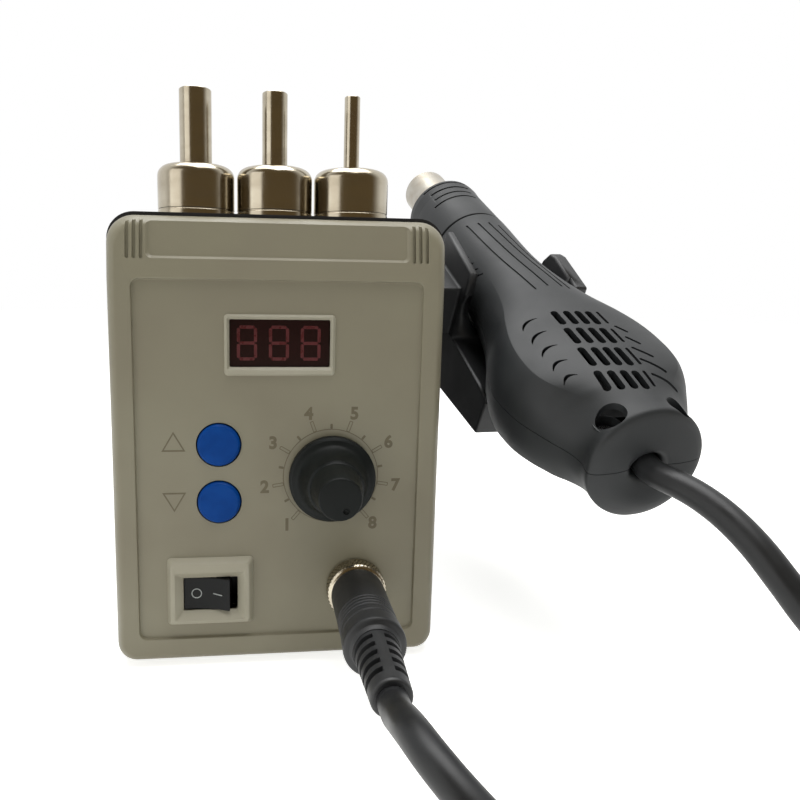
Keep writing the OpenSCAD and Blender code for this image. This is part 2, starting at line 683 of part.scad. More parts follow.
module fuse_holder() color("#17181a") station() {
    rod_y(fuse_x, fuse_z, 6, rear_y - 26, rear_y + 1);
    rod_y(fuse_x, fuse_z, 8, rear_y, rear_y + 2);
    difference() {
        rod_y(fuse_x, fuse_z, 6.4, rear_y + 1.5, rear_y + 8);
        block([fuse_x - 5, rear_y + 6.6, fuse_z - 0.7], [fuse_x + 5, rear_y + 9, fuse_z + 0.7]);
    }
}

// Solid inside of the grip's outline, grown outwards by a gap
function bend(a, c, b, t) = (1 - t) * (1 - t) * a + 2 * t * (1 - t) * c + t * t * b;
function quarter_point(w, e, h, top, f) =
    f < 0.5 ? bend([w, 0], [w, 0.586 * h], [e, h], 2 * f)
            : bend([e, h], [0.586 * e, top], [0, top], 2 * f - 1);
function ring_point(row, grow, s) =
    let (q = floor(s), f = s - q,
         e = (q < 2 ? row[2] : row[5]) + round_k * grow,
         p = quarter_point(row[1] + grow, e, row[3] + round_k * grow, row[4] + grow,
                           q % 2 == 0 ? f : 1 - f))
    [p[0] * (q == 0 || q == 3 ? 1 : -1), p[1] * (q < 2 ? 1 : -1)];
function grip_ring(row, grow) =
    [for (k = [0 : grip_sides - 1])
        let (p = ring_point(row, grow, 4 * k / grip_sides))
        [p[0], row[0] + (row[0] < 15 ? tail_lean * (1 - row[0] / 15) * p[1] : 0), p[1]]];
function turned_over(f) = [for (i = len(f) - 1; i >= 0; i = i - 1) f[i]];
module grip_skin(grow)
    polyhedron([for (row = grip_rows) each grip_ring(row, grow)],
               [for (f = skin_faces(len(grip_rows), grip_sides)) turned_over(f)]);

// Inside of the grip, from the tail wall to the neck's open end
module grip_room() intersection() {
    grip_skin(-shell_wall);
    block([-50, 2, -50], [50, 200, 50]);
}

vent_xs = [-6.8, -3.2, 0.4, 4, 7.6];
vent_ys = [48, 37.5, 26.8, 15.8];
shell_boss = [[-9.8, 6], [9.8, 6]];
cord_hole_r = cord_r + 0.4;

module shell_half(side) difference() {
    union() {
        difference() {
            grip_skin(0);
            grip_room();
            translate([0, collar_y - 1, 0]) rotate([-90, 0, 0])
                cylinder(r = neck_r - shell_wall + 0.1, h = 5);
        }
        intersection() {
            for (p = shell_boss) translate([p[0], p[1], -40]) cylinder(r = 3.2, h = 80);
            grip_skin(-0.5);
        }
    }
    block([-60, -60, side > 0 ? -60 : 0], [60, 200, side > 0 ? 0 : 60]);
    translate([0, 8, 0]) facing() cylinder(r = cord_hole_r, h = 30);
}

// Upper half: intake slots and louvres over the blower, two sunk screw holes at the tail
module shell_upper() color("#3c3e40") in_grip() difference() {
    shell_half(1);
    for (x = vent_xs, y = vent_ys)
        block([x - 1.2, y - 4.3, 10], [x + 1.2, y + 4.3, 30]);
    for (side = [-1, 1], i = [0 : 4])
        translate([side * 14.5, 21.5 + 7 * i, 10]) rotate([0, 0, side * -25])
            translate([-3.8, -0.8, 0]) cube([7.6, 1.6, 20]);
    for (p = shell_boss) translate([p[0], p[1], -1]) cylinder(r = 1.7, h = 40);
    for (p = shell_boss) translate([p[0], p[1], 6]) cylinder(r = 3, h = 40);
}

// Lower half: screw bosses at the tail and four posts that carry the blower
module shell_lower() color("#35373a") in_grip() difference() {
    union() {
        shell_half(-1);
        intersection() {
            for (x = [-13, 13], y = [blower_y - 10, blower_y + 10])
                translate([x, y, -40]) cylinder(r = 2.5, h = 40 - blower_h / 2 - slide_gap);
            grip_skin(-0.5);
        }
    }
    for (p = shell_boss) translate([p[0], p[1], -14]) cylinder(r = 1.4, h = 20);
}

module shell_screws() color("#8d9196") in_grip()
    for (p = shell_boss) translate([p[0], p[1], 6]) pan_screw(2.7, 2, 1.35, 16);

// Nose collar: heat guard around the barrel's root, its spigot inside the neck
collar_lip = 3.4;
module nose_collar() color("#2c2e30") in_grip() difference() {
    union() {
        translate([0, collar_y, 0]) rotate([-90, 0, 0]) rotate_extrude() polygon([
            [12.6, 0], [neck_r, 0], [neck_r + 0.1, 30], [neck_r + 0.5, 36],
            [neck_r + 0.3, 39.6], [neck_r - 1, 41.4], [neck_r - 3, collar_end - collar_y],
            [12.6, collar_end - collar_y]]);
        translate([0, collar_y - 6, 0]) rotate([-90, 0, 0])
            cylinder(r = neck_r - shell_wall - 0.2, h = 7);
    }
    translate([0, collar_y + 3, 0]) rotate([-90, 0, 0])
        cylinder(r = neck_r - 2.6, h = collar_end - collar_y - 3 - collar_lip);
    translate([0, collar_y - 7, 0]) rotate([-90, 0, 0]) cylinder(r = barrel_d / 2 + 0.1, h = 60);
    for (i = [0 : 3])
        translate([0, collar_y + 21.3 + 5.3 * i, 0]) rotate([0, -8, 0])
            block([-12, -0.9, neck_r - 3.2], [12, 0.9, neck_r + 3]);
}

module barrel_tube() color("#b9b9b4") in_grip() translate([0, collar_y - 5, 0])
    rotate([-90, 0, 0]) difference() {
        union() {
            cylinder(r = barrel_d / 2 - 0.3, h = collar_end - collar_y + 6);
            translate([0, 0, collar_end - collar_y + 5 + barrel_step])
                cylinder(r = barrel_d / 2, h = barrel_out - barrel_step);
            translate([0, 0, 8.2]) cylinder(r = barrel_d / 2 + 3, h = 1);
        }
        translate([0, 0, -1]) cylinder(r = barrel_d / 2 - barrel_wall, h = 120);
    }

heater_y = 141;
heater_l = 50;
sleeve_r = barrel_d / 2 - barrel_wall - 0.15;
module mica_sleeve() color("#c9b79a") in_grip() translate([0, heater_y, 0]) rotate([-90, 0, 0])
    difference() {
        cylinder(r = sleeve_r, h = heater_l);
        translate([0, 0, -1]) cylinder(r = sleeve_r - 0.5, h = heater_l + 2);
    }

module mica_cross() color("#d8cdb4") in_grip() difference() {
    for (a = [0, 90]) translate([0, heater_y, 0]) rotate([0, a, 0])
        block([-sleeve_r + 0.6, 0, -0.4], [sleeve_r - 0.6, heater_l, 0.4]);
    for (i = [0 : 11]) translate([0, heater_y + 3 + 4 * i, 0]) rotate([-90, 0, 0])
        difference() {
            translate([0, 0, -0.7]) cylinder(r = sleeve_r, h = 1.4);
            translate([0, 0, -1]) cylinder(r = sleeve_r - 3.2, h = 2);
        }
}

module heater_coil() color("#7c7f82") in_grip() {
    for (i = [0 : 11]) translate([0, heater_y + 3 + 4 * i, 0]) rotate([-90, 0, 0])
        rotate_extrude() translate([sleeve_r - 2.7, -0.5]) square(1);
    rotate([0, 45, 0]) block([sleeve_r - 2.6, heater_y - 6, -0.5],
                             [sleeve_r - 1.8, heater_y + 47, 0.5]);
}

module thermocouple() color("#9a9c9e") in_grip() rotate([0, 20, 0])
    translate([2.4, heater_y - 6, -2.3]) rotate([-90, 0, 0])
        cylinder(r = 0.8, h = heater_l + 6, $fn = 24);

// Radial blower: volute with its intake under the vents and its outlet towards the neck
duct_w = 18;
module blower_shape(inset) {
    cylinder(r = blower_r - inset, h = blower_h - 2 * inset);
    translate([-duct_w / 2 + inset, 0, 0])
        cube([duct_w - 2 * inset, blower_r + 8 + (inset > 0 ? 5 : 0), blower_h - 2 * inset]);
}
module blower_housing() color("#202225") in_grip() translate([0, blower_y, -blower_h / 2])
    difference() {
        blower_shape(0);
        translate([0, 0, blower_wall]) blower_shape(blower_wall);
        translate([0, 0, blower_wall]) cylinder(r = 14, h = 40);
    }

motor_r = 8;
pin_shaft_r = 1;
module blower_motor() color("#70543a") in_grip()
    translate([0, blower_y, -blower_h / 2 + blower_wall]) {
        difference() {
            cylinder(r = motor_r, h = 7);
            translate([0, 0, 1.4]) cylinder(r = pin_shaft_r + run_clear, h = 9);
        }
    }

blades = 11;
wheel_h = 10;
module impeller() color("#2a2c2e") in_grip()
    translate([0, blower_y, -blower_h / 2 + blower_wall + 1]) {
        difference() {
            translate([0, 0, 0]) cylinder(r = motor_r + 1.8, h = wheel_h - 1);
            translate([0, 0, -1]) cylinder(r = motor_r + 0.4, h = 7.6);
        }
        translate([0, 0, 1]) cylinder(r = pin_shaft_r, h = 6);
        difference() {
            cylinder(r = wheel_d / 2, h = 1.2);
            translate([0, 0, -1]) cylinder(r = motor_r + 0.8, h = 4);
        }
        for (i = [0 : blades - 1]) rotate([0, 0, 360 * i / blades])
            translate([motor_r + 1.4, -0.5, 0]) rotate([0, 0, 12])
                cube([wheel_d / 2 - motor_r - 1.9, 1, wheel_h]);
    }

// Board in the neck on two ribs, with the magnetic switch that feels the cradle
pcb_z = -9;
module handset_board() color("#2f6b3c") in_grip() {
    block([-8, 70, pcb_z], [8, 108, pcb_z + 1.2]);
    for (y = [76, 102]) block([-3, y, -neck_r + shell_wall + 0.7], [3, y + 2, pcb_z]);
    translate([0, 86, pcb_z + 2.1]) rotate([-90, 0, 0]) cylinder(r = 1.2, h = 14, $fn = 24);
    for (y = [85.4, 100]) block([-0.3, y, pcb_z], [0.3, y + 0.6, pcb_z + 2.8]);
}

// Bar that clamps the cord inside the tail
module cord_clamp() color("#303236") in_grip() difference() {
    block([-6, 3.2, -cord_r - 3], [6, 7.8, cord_r + 3]);
    translate([0, 9, 0]) facing() cylinder(r = cord_r, h = 30);
}

// Side shape of a cradle wall, with the round notch in its front edge
module wall_side(top) difference() {
    polygon(top);
    translate([68, -4]) circle(18.7);
}
module cradle_block(x1, x2, top)
    translate([x1, 0, 0]) rotate([90, 0, 90]) linear_extrude(x2 - x1) {
        wall_side(top);
        polygon([[cradle_from, -16], [57, -14.5], [cradle_to, -14.5], [cradle_to, -38],
                 [84, -38], [cradle_from, -31]]);
    }

// Hollow for the neck: round below, straight walls that lean apart above
module channel(r, depth, y1, y2) translate([0, y2, 0]) facing() linear_extrude(y2 - y1) {
    translate([0, r - depth]) circle(r);
    polygon([[-r, r - depth], [-max(21, r), 14], [-max(21.6, r), 60], [max(21.6, r), 60],
             [max(21, r), 14], [r, r - depth]]);
}

module cradle() color("#1e1f21") {
    difference() {
        union() {
            along_axis() {
                cradle_block(-cradle_left, 0, [[70, -15], [cradle_to, -15], [cradle_to, 16],
                                               [112, 18], [75, 13.4], [70, 13]]);
                cradle_block(-eps, cradle_right, [[70, -15], [110, -15], [110, 8], [108, 12],
                                                  [104, 12.5], [75, 8], [70, 7]]);
            }
            intersection() {
                along_axis() block([-60, 88, -14], [-cradle_left + 1, 106, 6]);
                station() block([case_side + cradle_plate - eps, 0, 0], [200, 200, 200]);
            }
            station() block([case_side, plate_y[0], plate_z[0]],
                            [case_side + cradle_plate, plate_y[1], plate_z[1]]);
        }
        along_axis() {
            channel(seat_r + 1, seat_r, 20, 130);
            channel(20, seat_r + 1, 20, 90);
            translate([0, 84, 41]) facing() cylinder(r = 60, h = 60, $fn = 180);
            for (x = [-21, -5.9, 9.2])
                block([x, cradle_from + 3, -60], [x + 12.8, cradle_to - 3, -22]);
            translate([0, 97, -seat_r - 2.6]) cylinder(r = 4.1, h = 10);
        }
        in_grip() grip_skin(0.9);
        station() for (y = screw_ys, z = screw_zs)
            translate([case_side - 1, y, z]) rotate([0, 90, 0]) cylinder(r = 1.8, h = 9);
    }
}

module cradle_screws() color("#8d9196") station() for (y = screw_ys, z = screw_zs)
    translate([case_side + cradle_plate, y, z]) rotate([0, 90, 0])
        pan_screw(3, 2.2, 1.5, cradle_plate + sheet + 2);

module cradle_magnet() color("#a5a8ab") along_axis()
    translate([0, 97, -seat_r - 2.6]) cylinder(r = 4, h = 2);

// Nozzle: spun cap with a rounded shoulder, crimped to a straight tube
nozzle_cap_r = barrel_d / 2 + 0.2 + nozzle_wall;
nozzle_bend = 3.3;
function shoulder(r, top, b) =
    [for (a = [0 : 18 : 90]) [r - b + b * cos(a), top - b + b * sin(a)]];
module nozzle(tube_d) {
    w = nozzle_wall;
    c = nozzle_cap_h;
    r = nozzle_cap_r;
    t = tube_d / 2;
    rotate_extrude() difference() {
        polygon(concat([[0, 0], [r, 0]], shoulder(r, c, nozzle_bend),
                       [[t, c], [t, nozzle_h], [0, nozzle_h]]));
        polygon(concat([[-1, -1], [r - w, -1]], shoulder(r - w, c - w, nozzle_bend - w),
                       [[t - w, c - w], [t - w, nozzle_h + 1], [-1, nozzle_h + 1]]));
    }
}
nozzle_at = [[-25.9, 24.8], [-1.1, 24.8], [23.6, 24.8]];
module placed_nozzle(i) station()
    translate([nozzle_at[i][0], nozzle_at[i][1], cover_top]) nozzle(nozzle_tubes[i]);
module nozzle_large() color("#c9c4b8") placed_nozzle(0);
module nozzle_medium() color("#c9c4b8") placed_nozzle(1);
module nozzle_small() color("#c9c4b8") placed_nozzle(2);

front_bezel();
case_cover();
base_tray();
rear_panel();
rubber_feet();
case_screws();
bezel_screws();
display_window();
display_module();
front_board();
board_posts();
tact_switches();
button_up();
button_down();
potentiometer();
pot_nut();
pot_shaft();
airflow_knob();
rocker_housing();
rocker();
socket_shell();
socket_nut();
lock_ring();
plug_body();
strain_relief();
cord_front();
cord_coil();
cord_rear();
main_board();
board_standoffs();
transformer_core();
transformer_coil();
transformer_screws();
heat_sink();
triac();
capacitors();
terminal_blocks();
mains_inlet();
inlet_screws();
fuse_holder();
cradle();
cradle_screws();
cradle_magnet();
nozzle_large();
nozzle_medium();
nozzle_small();
shell_upper();
shell_lower();
nose_collar();
barrel_tube();
mica_cross();
mica_sleeve();
heater_coil();
thermocouple();
blower_housing();
blower_motor();
impeller();
handset_board();
shell_screws();
cord_clamp();
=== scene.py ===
"""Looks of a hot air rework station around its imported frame: camera, cord, finishes and detailed skins."""
import json
import math

import bmesh
import bpy
import numpy as np
from mathutils import Matrix, Vector

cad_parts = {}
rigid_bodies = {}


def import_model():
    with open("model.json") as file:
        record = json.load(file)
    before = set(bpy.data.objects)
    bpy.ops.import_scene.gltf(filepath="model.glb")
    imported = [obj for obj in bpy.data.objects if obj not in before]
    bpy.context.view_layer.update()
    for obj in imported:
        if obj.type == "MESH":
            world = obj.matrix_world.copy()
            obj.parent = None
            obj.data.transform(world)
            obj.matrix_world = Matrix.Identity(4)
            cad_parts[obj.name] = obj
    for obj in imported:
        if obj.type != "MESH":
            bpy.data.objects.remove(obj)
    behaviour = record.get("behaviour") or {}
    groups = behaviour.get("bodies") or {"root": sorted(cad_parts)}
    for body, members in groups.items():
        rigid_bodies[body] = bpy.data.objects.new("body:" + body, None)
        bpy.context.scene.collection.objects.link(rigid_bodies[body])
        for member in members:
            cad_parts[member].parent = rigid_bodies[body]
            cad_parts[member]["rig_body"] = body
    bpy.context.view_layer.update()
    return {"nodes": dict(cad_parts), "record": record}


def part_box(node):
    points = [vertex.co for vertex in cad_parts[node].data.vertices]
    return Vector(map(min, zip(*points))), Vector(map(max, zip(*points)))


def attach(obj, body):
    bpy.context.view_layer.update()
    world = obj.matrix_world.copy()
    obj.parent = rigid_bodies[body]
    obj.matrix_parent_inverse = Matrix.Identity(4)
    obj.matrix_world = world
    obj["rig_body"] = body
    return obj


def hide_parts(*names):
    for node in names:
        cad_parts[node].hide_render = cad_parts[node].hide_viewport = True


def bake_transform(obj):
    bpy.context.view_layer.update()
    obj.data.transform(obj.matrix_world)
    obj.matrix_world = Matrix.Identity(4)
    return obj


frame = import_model()

MM = 0.001
scene = bpy.context.scene

# Places in millimetres: x from the panel's middle, y from its recessed face, z from the ground.
# The frame's bezel says where that zero lies in the part's own frame: its foremost face is the land of
# the switch frame.
SWITCH_LAND = 2.6
bezel_low, bezel_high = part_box("front_bezel")
ZERO = np.array([(bezel_low.x + bezel_high.x) / 2, bezel_low.y + SWITCH_LAND * MM, 0.0])


def station(points):
    """Station millimetres to metres in the part's frame."""
    return np.asarray(points, float) * MM + ZERO


def turned(axis, degrees):
    """Rotation matrix about one axis of the frame, 0 for X, 1 for Y, 2 for Z."""
    return np.array(Matrix.Rotation(math.radians(degrees), 3, "XYZ"[axis]))


# Pose of the handset: its tail, the rise and turn of its axis, and the roll of its broad face
TAIL = np.array([101.0, -24.0, 70.0])
ALONG = turned(2, 6) @ turned(0, 28.7)
GRIP = ALONG @ turned(1, -8)


def in_grip(points):
    """Handset millimetres: x across, y from the tail along the axis, z out of the broad face."""
    return station(TAIL + np.asarray(points, float) @ GRIP.T)


def at_panel(x, z, y=0.0):
    """Places a shape drawn on x and z with its height towards the front: (a, b, h) goes to
    (x + a, y - h, z + b)."""
    return lambda p: station(np.stack([x + p[:, 0], y - p[:, 2], z + p[:, 1]], -1))


def upright(x, y, z):
    """Places a shape whose height runs up."""
    return lambda p: station(p + np.array([x, y, z]))


def along_grip(y):
    """Places a shape whose height runs along the handset's axis, from y on."""
    return lambda p: in_grip(np.stack([p[:, 0], y + p[:, 2], -p[:, 1]], -1))


# Camera: fitted to the front panel, the buttons, the knob and the nozzles
EYE = (-6.824, -188.240, 117.228)
YAW, PITCH, ROLL = 0.1088, -0.1413, 0.0152
FOCAL_PX, IMAGE_PX, SENSOR_MM = 640.0, 800.0, 36.0
CENTRE_PX = (326.03, 378.51)


def make_camera():
    """The photograph's view: yaw and pitch give its direction, roll turns it, and the lens and the middle
    are in pixels of the frame."""
    forward = np.array([math.sin(YAW) * math.cos(PITCH), math.cos(YAW) * math.cos(PITCH), math.sin(PITCH)])
    level = np.array([math.cos(YAW), -math.sin(YAW), 0.0])
    above = np.cross(level, forward)
    right = level * math.cos(ROLL) + above * math.sin(ROLL)
    up = above * math.cos(ROLL) - level * math.sin(ROLL)
    data = bpy.data.cameras.new("camera")
    data.sensor_width = SENSOR_MM
    data.lens = FOCAL_PX / IMAGE_PX * SENSOR_MM
    data.shift_x = (IMAGE_PX / 2 - CENTRE_PX[0]) / IMAGE_PX
    data.shift_y = (CENTRE_PX[1] - IMAGE_PX / 2) / IMAGE_PX
    data.clip_start = 0.01
    camera = bpy.data.objects.new("camera", data)
    pose = np.eye(4)
    pose[:3, :3] = np.stack([right, up, -forward], -1)
    pose[:3, 3] = station(EYE)
    camera.matrix_world = Matrix(pose.tolist())
    scene.collection.objects.link(camera)
    scene.camera = camera


make_camera()


# Materials
def linear(colour):
    """sRGB hex to linear RGBA."""
    parts = [int(colour[i:i + 2], 16) / 255 for i in (1, 3, 5)]
    return tuple(p / 12.92 if p <= 0.04045 else ((p + 0.055) / 1.055) ** 2.4 for p in parts) + (1.0,)


def add(tree, kind, values=None, links=None, **settings):
    """Adds one node with its settings, its sockets' values and its links."""
    node = tree.nodes.new("ShaderNode" + kind)
    for key, value in settings.items():
        setattr(node, key, value)
    for socket, value in (values or {}).items():
        node.inputs[socket].default_value = value
    for socket, source in (links or {}).items():
        tree.links.new(source, node.inputs[socket])
    return node


def blank(name):
    """A material with its node tree and its shader."""
    material = bpy.data.materials.new(name)
    material.use_nodes = True
    return material, material.node_tree, material.node_tree.nodes["Principled BSDF"]


# Noise gathers around its middle value, so these parts of its range carry the whole change
TONE_RANGE = {"From Min": 0.35, "From Max": 0.65}
GLOSS_RANGE = {"From Min": 0.3, "From Max": 0.7}


def finish(name, colour, shade, rough, grain, depth, mottle, metal=0.0, spread=0.08, stretch=(1, 1, 1),
           **sockets):
    """One finish: two tones mottled over some millimetres, roughness that wanders, and a bump of grain.
    grain and mottle are sizes in millimetres, depth the bump's height in millimetres."""
    material, tree, shader = blank(name)
    where = add(tree, "TexCoord").outputs["Object"]
    where = add(tree, "Mapping", {"Scale": stretch}, {"Vector": where}).outputs["Vector"]
    broad = add(tree, "TexNoise", {"Scale": 1 / (mottle * MM), "Detail": 3.0}, {"Vector": where})
    fine = add(tree, "TexNoise", {"Scale": 1 / (grain * MM), "Detail": 2.0}, {"Vector": where})
    tone = add(tree, "MapRange", TONE_RANGE, {"Value": broad.outputs["Fac"]})
    mixed = add(tree, "Mix", {"A": linear(colour), "B": linear(shade)}, data_type="RGBA")
    tree.links.new(tone.outputs["Result"], mixed.inputs["Factor"])
    tree.links.new(mixed.outputs[2], shader.inputs["Base Color"])
    gloss = add(tree, "MapRange", GLOSS_RANGE | {"To Min": rough - spread, "To Max": rough + spread},
                {"Value": broad.outputs["Fac"]})
    tree.links.new(gloss.outputs["Result"], shader.inputs["Roughness"])
    bump = add(tree, "Bump", {"Strength": 1.0, "Distance": depth * MM}, {"Height": fine.outputs["Fac"]})
    tree.links.new(bump.outputs["Normal"], shader.inputs["Normal"])
    shader.inputs["Metallic"].default_value = metal
    for socket, value in sockets.items():
        shader.inputs[socket.replace("_", " ")].default_value = value
    return material


# The finish of each part of the object, with what it gives the eye
FINISHES = {
    # Moulded ABS in warm grey, from a spark eroded mould: a fine even grain and a soft sheen
    "bezel_plastic": finish("moulded_abs_warm_grey", "#837e69", "#7f7965", 0.46, 0.5, 0.012, 30),
    # Moulded nylon in black: plain, with little shine
    "switch_black": finish("moulded_nylon_black", "#0f1010", "#151616", 0.42, 0.5, 0.01, 8,
                           Specular_IOR_Level=0.17),
    # Powder coated steel: black with fine pebbles, half matt
    "case_paint": finish("powder_coated_steel_black", "#17181b", "#1a1b1f", 0.5, 0.7, 0.05, 15, 0.0, 0.025),
    # Cold rolled steel, zinc plated: pale with a faint drawn grain
    "plain_steel": finish("zinc_plated_sheet", "#a7abb0", "#93989e", 0.38, 0.4, 0.004, 6, 1.0,
                          stretch=(1, 0.1, 1)),
    # Nickel plated screws: bright with fine marks
    "screw_steel": finish("nickel_plated_screws", "#a9acae", "#8e9194", 0.3, 0.25, 0.004, 2, 1.0),
    # Moulded rubber feet: matt, dusty
    "foot_rubber": finish("moulded_rubber_black", "#1c1c1c", "#262625", 0.8, 0.4, 0.03, 4),
    # Moulded nylon with glass fibre: dark grey, satin, with a faint flow mottle
    "shell_plastic": finish("glass_filled_nylon_grey", "#262829", "#2b2d2e", 0.5, 0.45, 0.012, 18,
                            Specular_IOR_Level=0.35),
    # Moulded ABS in black: a little glossier and darker than the handset
    "cradle_plastic": finish("moulded_abs_black", "#1f2021", "#262728", 0.5, 0.5, 0.012, 18),
    # Moulded soft PVC: dull, with a fine grain
    "plug_rubber": finish("moulded_pvc_black", "#1f2021", "#252627", 0.5, 0.4, 0.015, 6),
    # Extruded PVC: a soft sheen and a faint grain
    "cord_rubber": finish("extruded_pvc_sheath", "#191a1b", "#212223", 0.42, 0.5, 0.01, 8,
                          Specular_IOR_Level=0.4),
    # Moulded black phenolic: satin
    "knob_grey": finish("moulded_phenolic_black", "#111413", "#171a19", 0.45, 0.4, 0.008, 6,
                        Specular_IOR_Level=0.15),
    # Moulded ABS in blue: satin with a fine grain
    "button_blue": finish("moulded_abs_blue", "#00408a", "#003a80", 0.45, 0.35, 0.01, 4,
                          Specular_IOR_Level=0.12),
    # Spun steel, nickel plated and rubbed: a warm grey mirror with faint bands of wear
    "nickel": finish("nickel_plated_spun_steel", "#bcb4a2", "#aea592", 0.2, 0.9, 0.0006, 14, 1.0, 0.04,
                     stretch=(1, 1, 3)),
    # Stainless tube: satin, slightly stained by heat
    "barrel_steel": finish("stainless_tube", "#b8b4aa", "#a9a193", 0.42, 0.3, 0.002, 9, 1.0),
    # Glass epoxy board with a green mask: glossy, slightly uneven
    "board_green": finish("green_masked_board", "#1c5a32", "#174d2a", 0.3, 0.6, 0.02, 3),
    # Turned brass: bright yellow with fine marks
    "brass_posts": finish("turned_brass", "#bfa25a", "#a98d4b", 0.28, 0.2, 0.003, 2, 1.0),
    # Varnished laminations: dark grey, the edges of the sheets showing as lines
    "core_steel": finish("varnished_core_laminations", "#44474a", "#383b3e", 0.5, 0.35, 0.05, 5,
                         stretch=(0.1, 1, 0.1)),
    # Enamelled copper: red brown, the turns showing as ribs
    "copper_wire": finish("enamelled_copper_winding", "#a85c2c", "#8c4620", 0.32, 0.5, 0.1, 3, 0.7,
                          stretch=(0.1, 0.1, 1)),
    # Extruded aluminium: pale, with long lines from the die
    "sink_aluminium": finish("extruded_aluminium", "#b4b7ba", "#a3a6aa", 0.35, 0.3, 0.005, 5, 1.0,
                             stretch=(1, 1, 0.08)),
    # Shrunk sleeve: dark blue, glossy, slightly uneven
    "sleeve_blue": finish("shrink_sleeve_blue", "#1d2838", "#23303f", 0.25, 0.8, 0.005, 5),
    # Moulded polyamide: green, satin
    "terminal_green": finish("moulded_polyamide_green", "#2c7a42", "#256c39", 0.42, 0.5, 0.01, 4),
    # Mica sheet: buff, with soft flakes and some gloss
    "mica": finish("mica_sheet", "#cdbf9f", "#b7a684", 0.35, 0.9, 0.03, 2.5),
    # Oxidised heating wire: dark grey, dull
    "heater_wire": finish("oxidised_heating_wire", "#6f6d6a", "#575450", 0.45, 0.25, 0.01, 2, 0.9),
    # Display block: nearly black with a red cast
    "display_black": finish("display_block", "#1d1012", "#231416", 0.5, 0.5, 0.01, 3),
}
# The two frames stand free of the panel and catch more light: the same ABS as the bezel, painted a tone paler
# to stand for that light
PAINTED_LIGHT_FRAME_PLASTIC = finish("moulded_abs_warm_grey_painted_light", "#a39f8c", "#9e9986", 0.46, 0.5, 0.012, 20)
# Pad printed ink: thin and matt
PRINT = finish("pad_printed_ink_brown", "#5e5642", "#665e49", 0.6, 0.3, 0.004, 2)
WHITE_PRINT = finish("pad_printed_ink_white", "#a4a8a5", "#989c99", 0.6, 0.3, 0.004, 2)
# Unlit segments behind smoked acrylic: a dark red that is just seen
UNLIT = finish("unlit_segments_through_smoke", "#480f13", "#511216", 0.3, 0.6, 0.002, 3)


def smoked_red():
    """Smoked red acrylic: nearly black, with a sharp gloss that shows the room."""
    material, tree, shader = blank("smoked_red_acrylic")
    where = add(tree, "TexCoord").outputs["Object"]
    haze_mm, ripple_mm, ripple_depth_mm = 9, 14, 0.02
    haze = add(tree, "TexNoise", {"Scale": 1 / (haze_mm * MM), "Detail": 2.0}, {"Vector": where})
    tone = add(tree, "Mix", {"A": linear("#1a090b"), "B": linear("#220b0d")}, {0: haze.outputs["Fac"]},
               data_type="RGBA")
    tree.links.new(tone.outputs[2], shader.inputs["Base Color"])
    ripple = add(tree, "TexNoise", {"Scale": 1 / (ripple_mm * MM)}, {"Vector": where})
    bump = add(tree, "Bump", {"Strength": 1.0, "Distance": ripple_depth_mm * MM},
               {"Height": ripple.outputs["Fac"]})
    tree.links.new(bump.outputs["Normal"], shader.inputs["Normal"])
    shader.inputs["Roughness"].default_value = 0.16
    shader.inputs["Specular IOR Level"].default_value = 0.3
    return material


FINISHES["window_red"] = smoked_red()
for row in frame["record"]["subparts"]:
    mesh = frame["nodes"][row["node"]].data
    mesh.materials.clear()
    mesh.materials.append(FINISHES[row["material_slot"]])


# Shapes
def grid_faces(rows, columns, around=True):
    """Quads between neighbouring rows of points, closed around the row when asked."""
    i, j = np.meshgrid(np.arange(rows - 1), np.arange(columns if around else columns - 1), indexing="ij")
    a, b = i * columns + j, i * columns + (j + 1) % columns
    return np.stack([a, b, b + columns, a + columns], -1).reshape(-1, 4).tolist()


def rounded(points, radius, steps=5, closed=True):
    """An outline whose corners become quadratic curves that start and end radius away from them."""
    points = np.asarray(points, float)
    parts = []
    for i, (corner, r) in enumerate(zip(points, np.broadcast_to(radius, len(points)))):
        if r == 0 or (not closed and i in (0, len(points) - 1)):
            parts.append(corner[None])
            continue
        back, on = points[i - 1] - corner, points[(i + 1) % len(points)] - corner
        start = corner + back * min(r / np.linalg.norm(back), 0.48)
        end = corner + on * min(r / np.linalg.norm(on), 0.48)
        t = np.linspace(0, 1, steps)[:, None]
        parts.append((1 - t) ** 2 * start + 2 * t * (1 - t) * corner + t ** 2 * end)
    return np.concatenate(parts)


def round_rect(w, h, r, steps=8):
    """Rectangle centred on zero with corner arcs of radius r, as one loop."""
    angle = np.concatenate([np.linspace(q, q + 90, steps) for q in (0, 90, 180, 270)])
    corner = np.repeat([[1, 1], [-1, 1], [-1, -1], [1, -1]], steps, 0) * [w / 2 - r, h / 2 - r]
    return corner + r * np.stack([np.cos(np.radians(angle)), np.sin(np.radians(angle))], -1)


def circle(r, steps=64, centre=(0, 0)):
    """Outline x = r cos a, y = r sin a about a centre."""
    angle = np.linspace(0, 2 * np.pi, steps, endpoint=False)
    return np.stack([np.cos(angle), np.sin(angle)], -1) * r + np.array(centre)


def capsule(start, end, r, steps=8):
    """Outline of a slot with round ends, from one point to another."""
    start, end = np.array(start, float), np.array(end, float)
    heading = math.atan2(*(end - start)[::-1])
    arc = np.linspace(-np.pi / 2, np.pi / 2, steps)
    ends = [(end, heading + arc), (start, heading + np.pi + arc)]
    return np.concatenate([p + r * np.stack([np.cos(a), np.sin(a)], -1) for p, a in ends])


def lathe(profile, steps=96):
    """(radius, height) pairs turned about the height: x = r cos a, y = r sin a, z = h."""
    angle = np.linspace(0, 2 * np.pi, steps, endpoint=False)
    r, h = np.asarray(profile, float).T
    height = np.repeat(h[:, None], steps, 1)
    ring = np.stack([np.outer(r, np.cos(angle)), np.outer(r, np.sin(angle)), height], -1)
    return ring.reshape(-1, 3), grid_faces(len(r), steps)


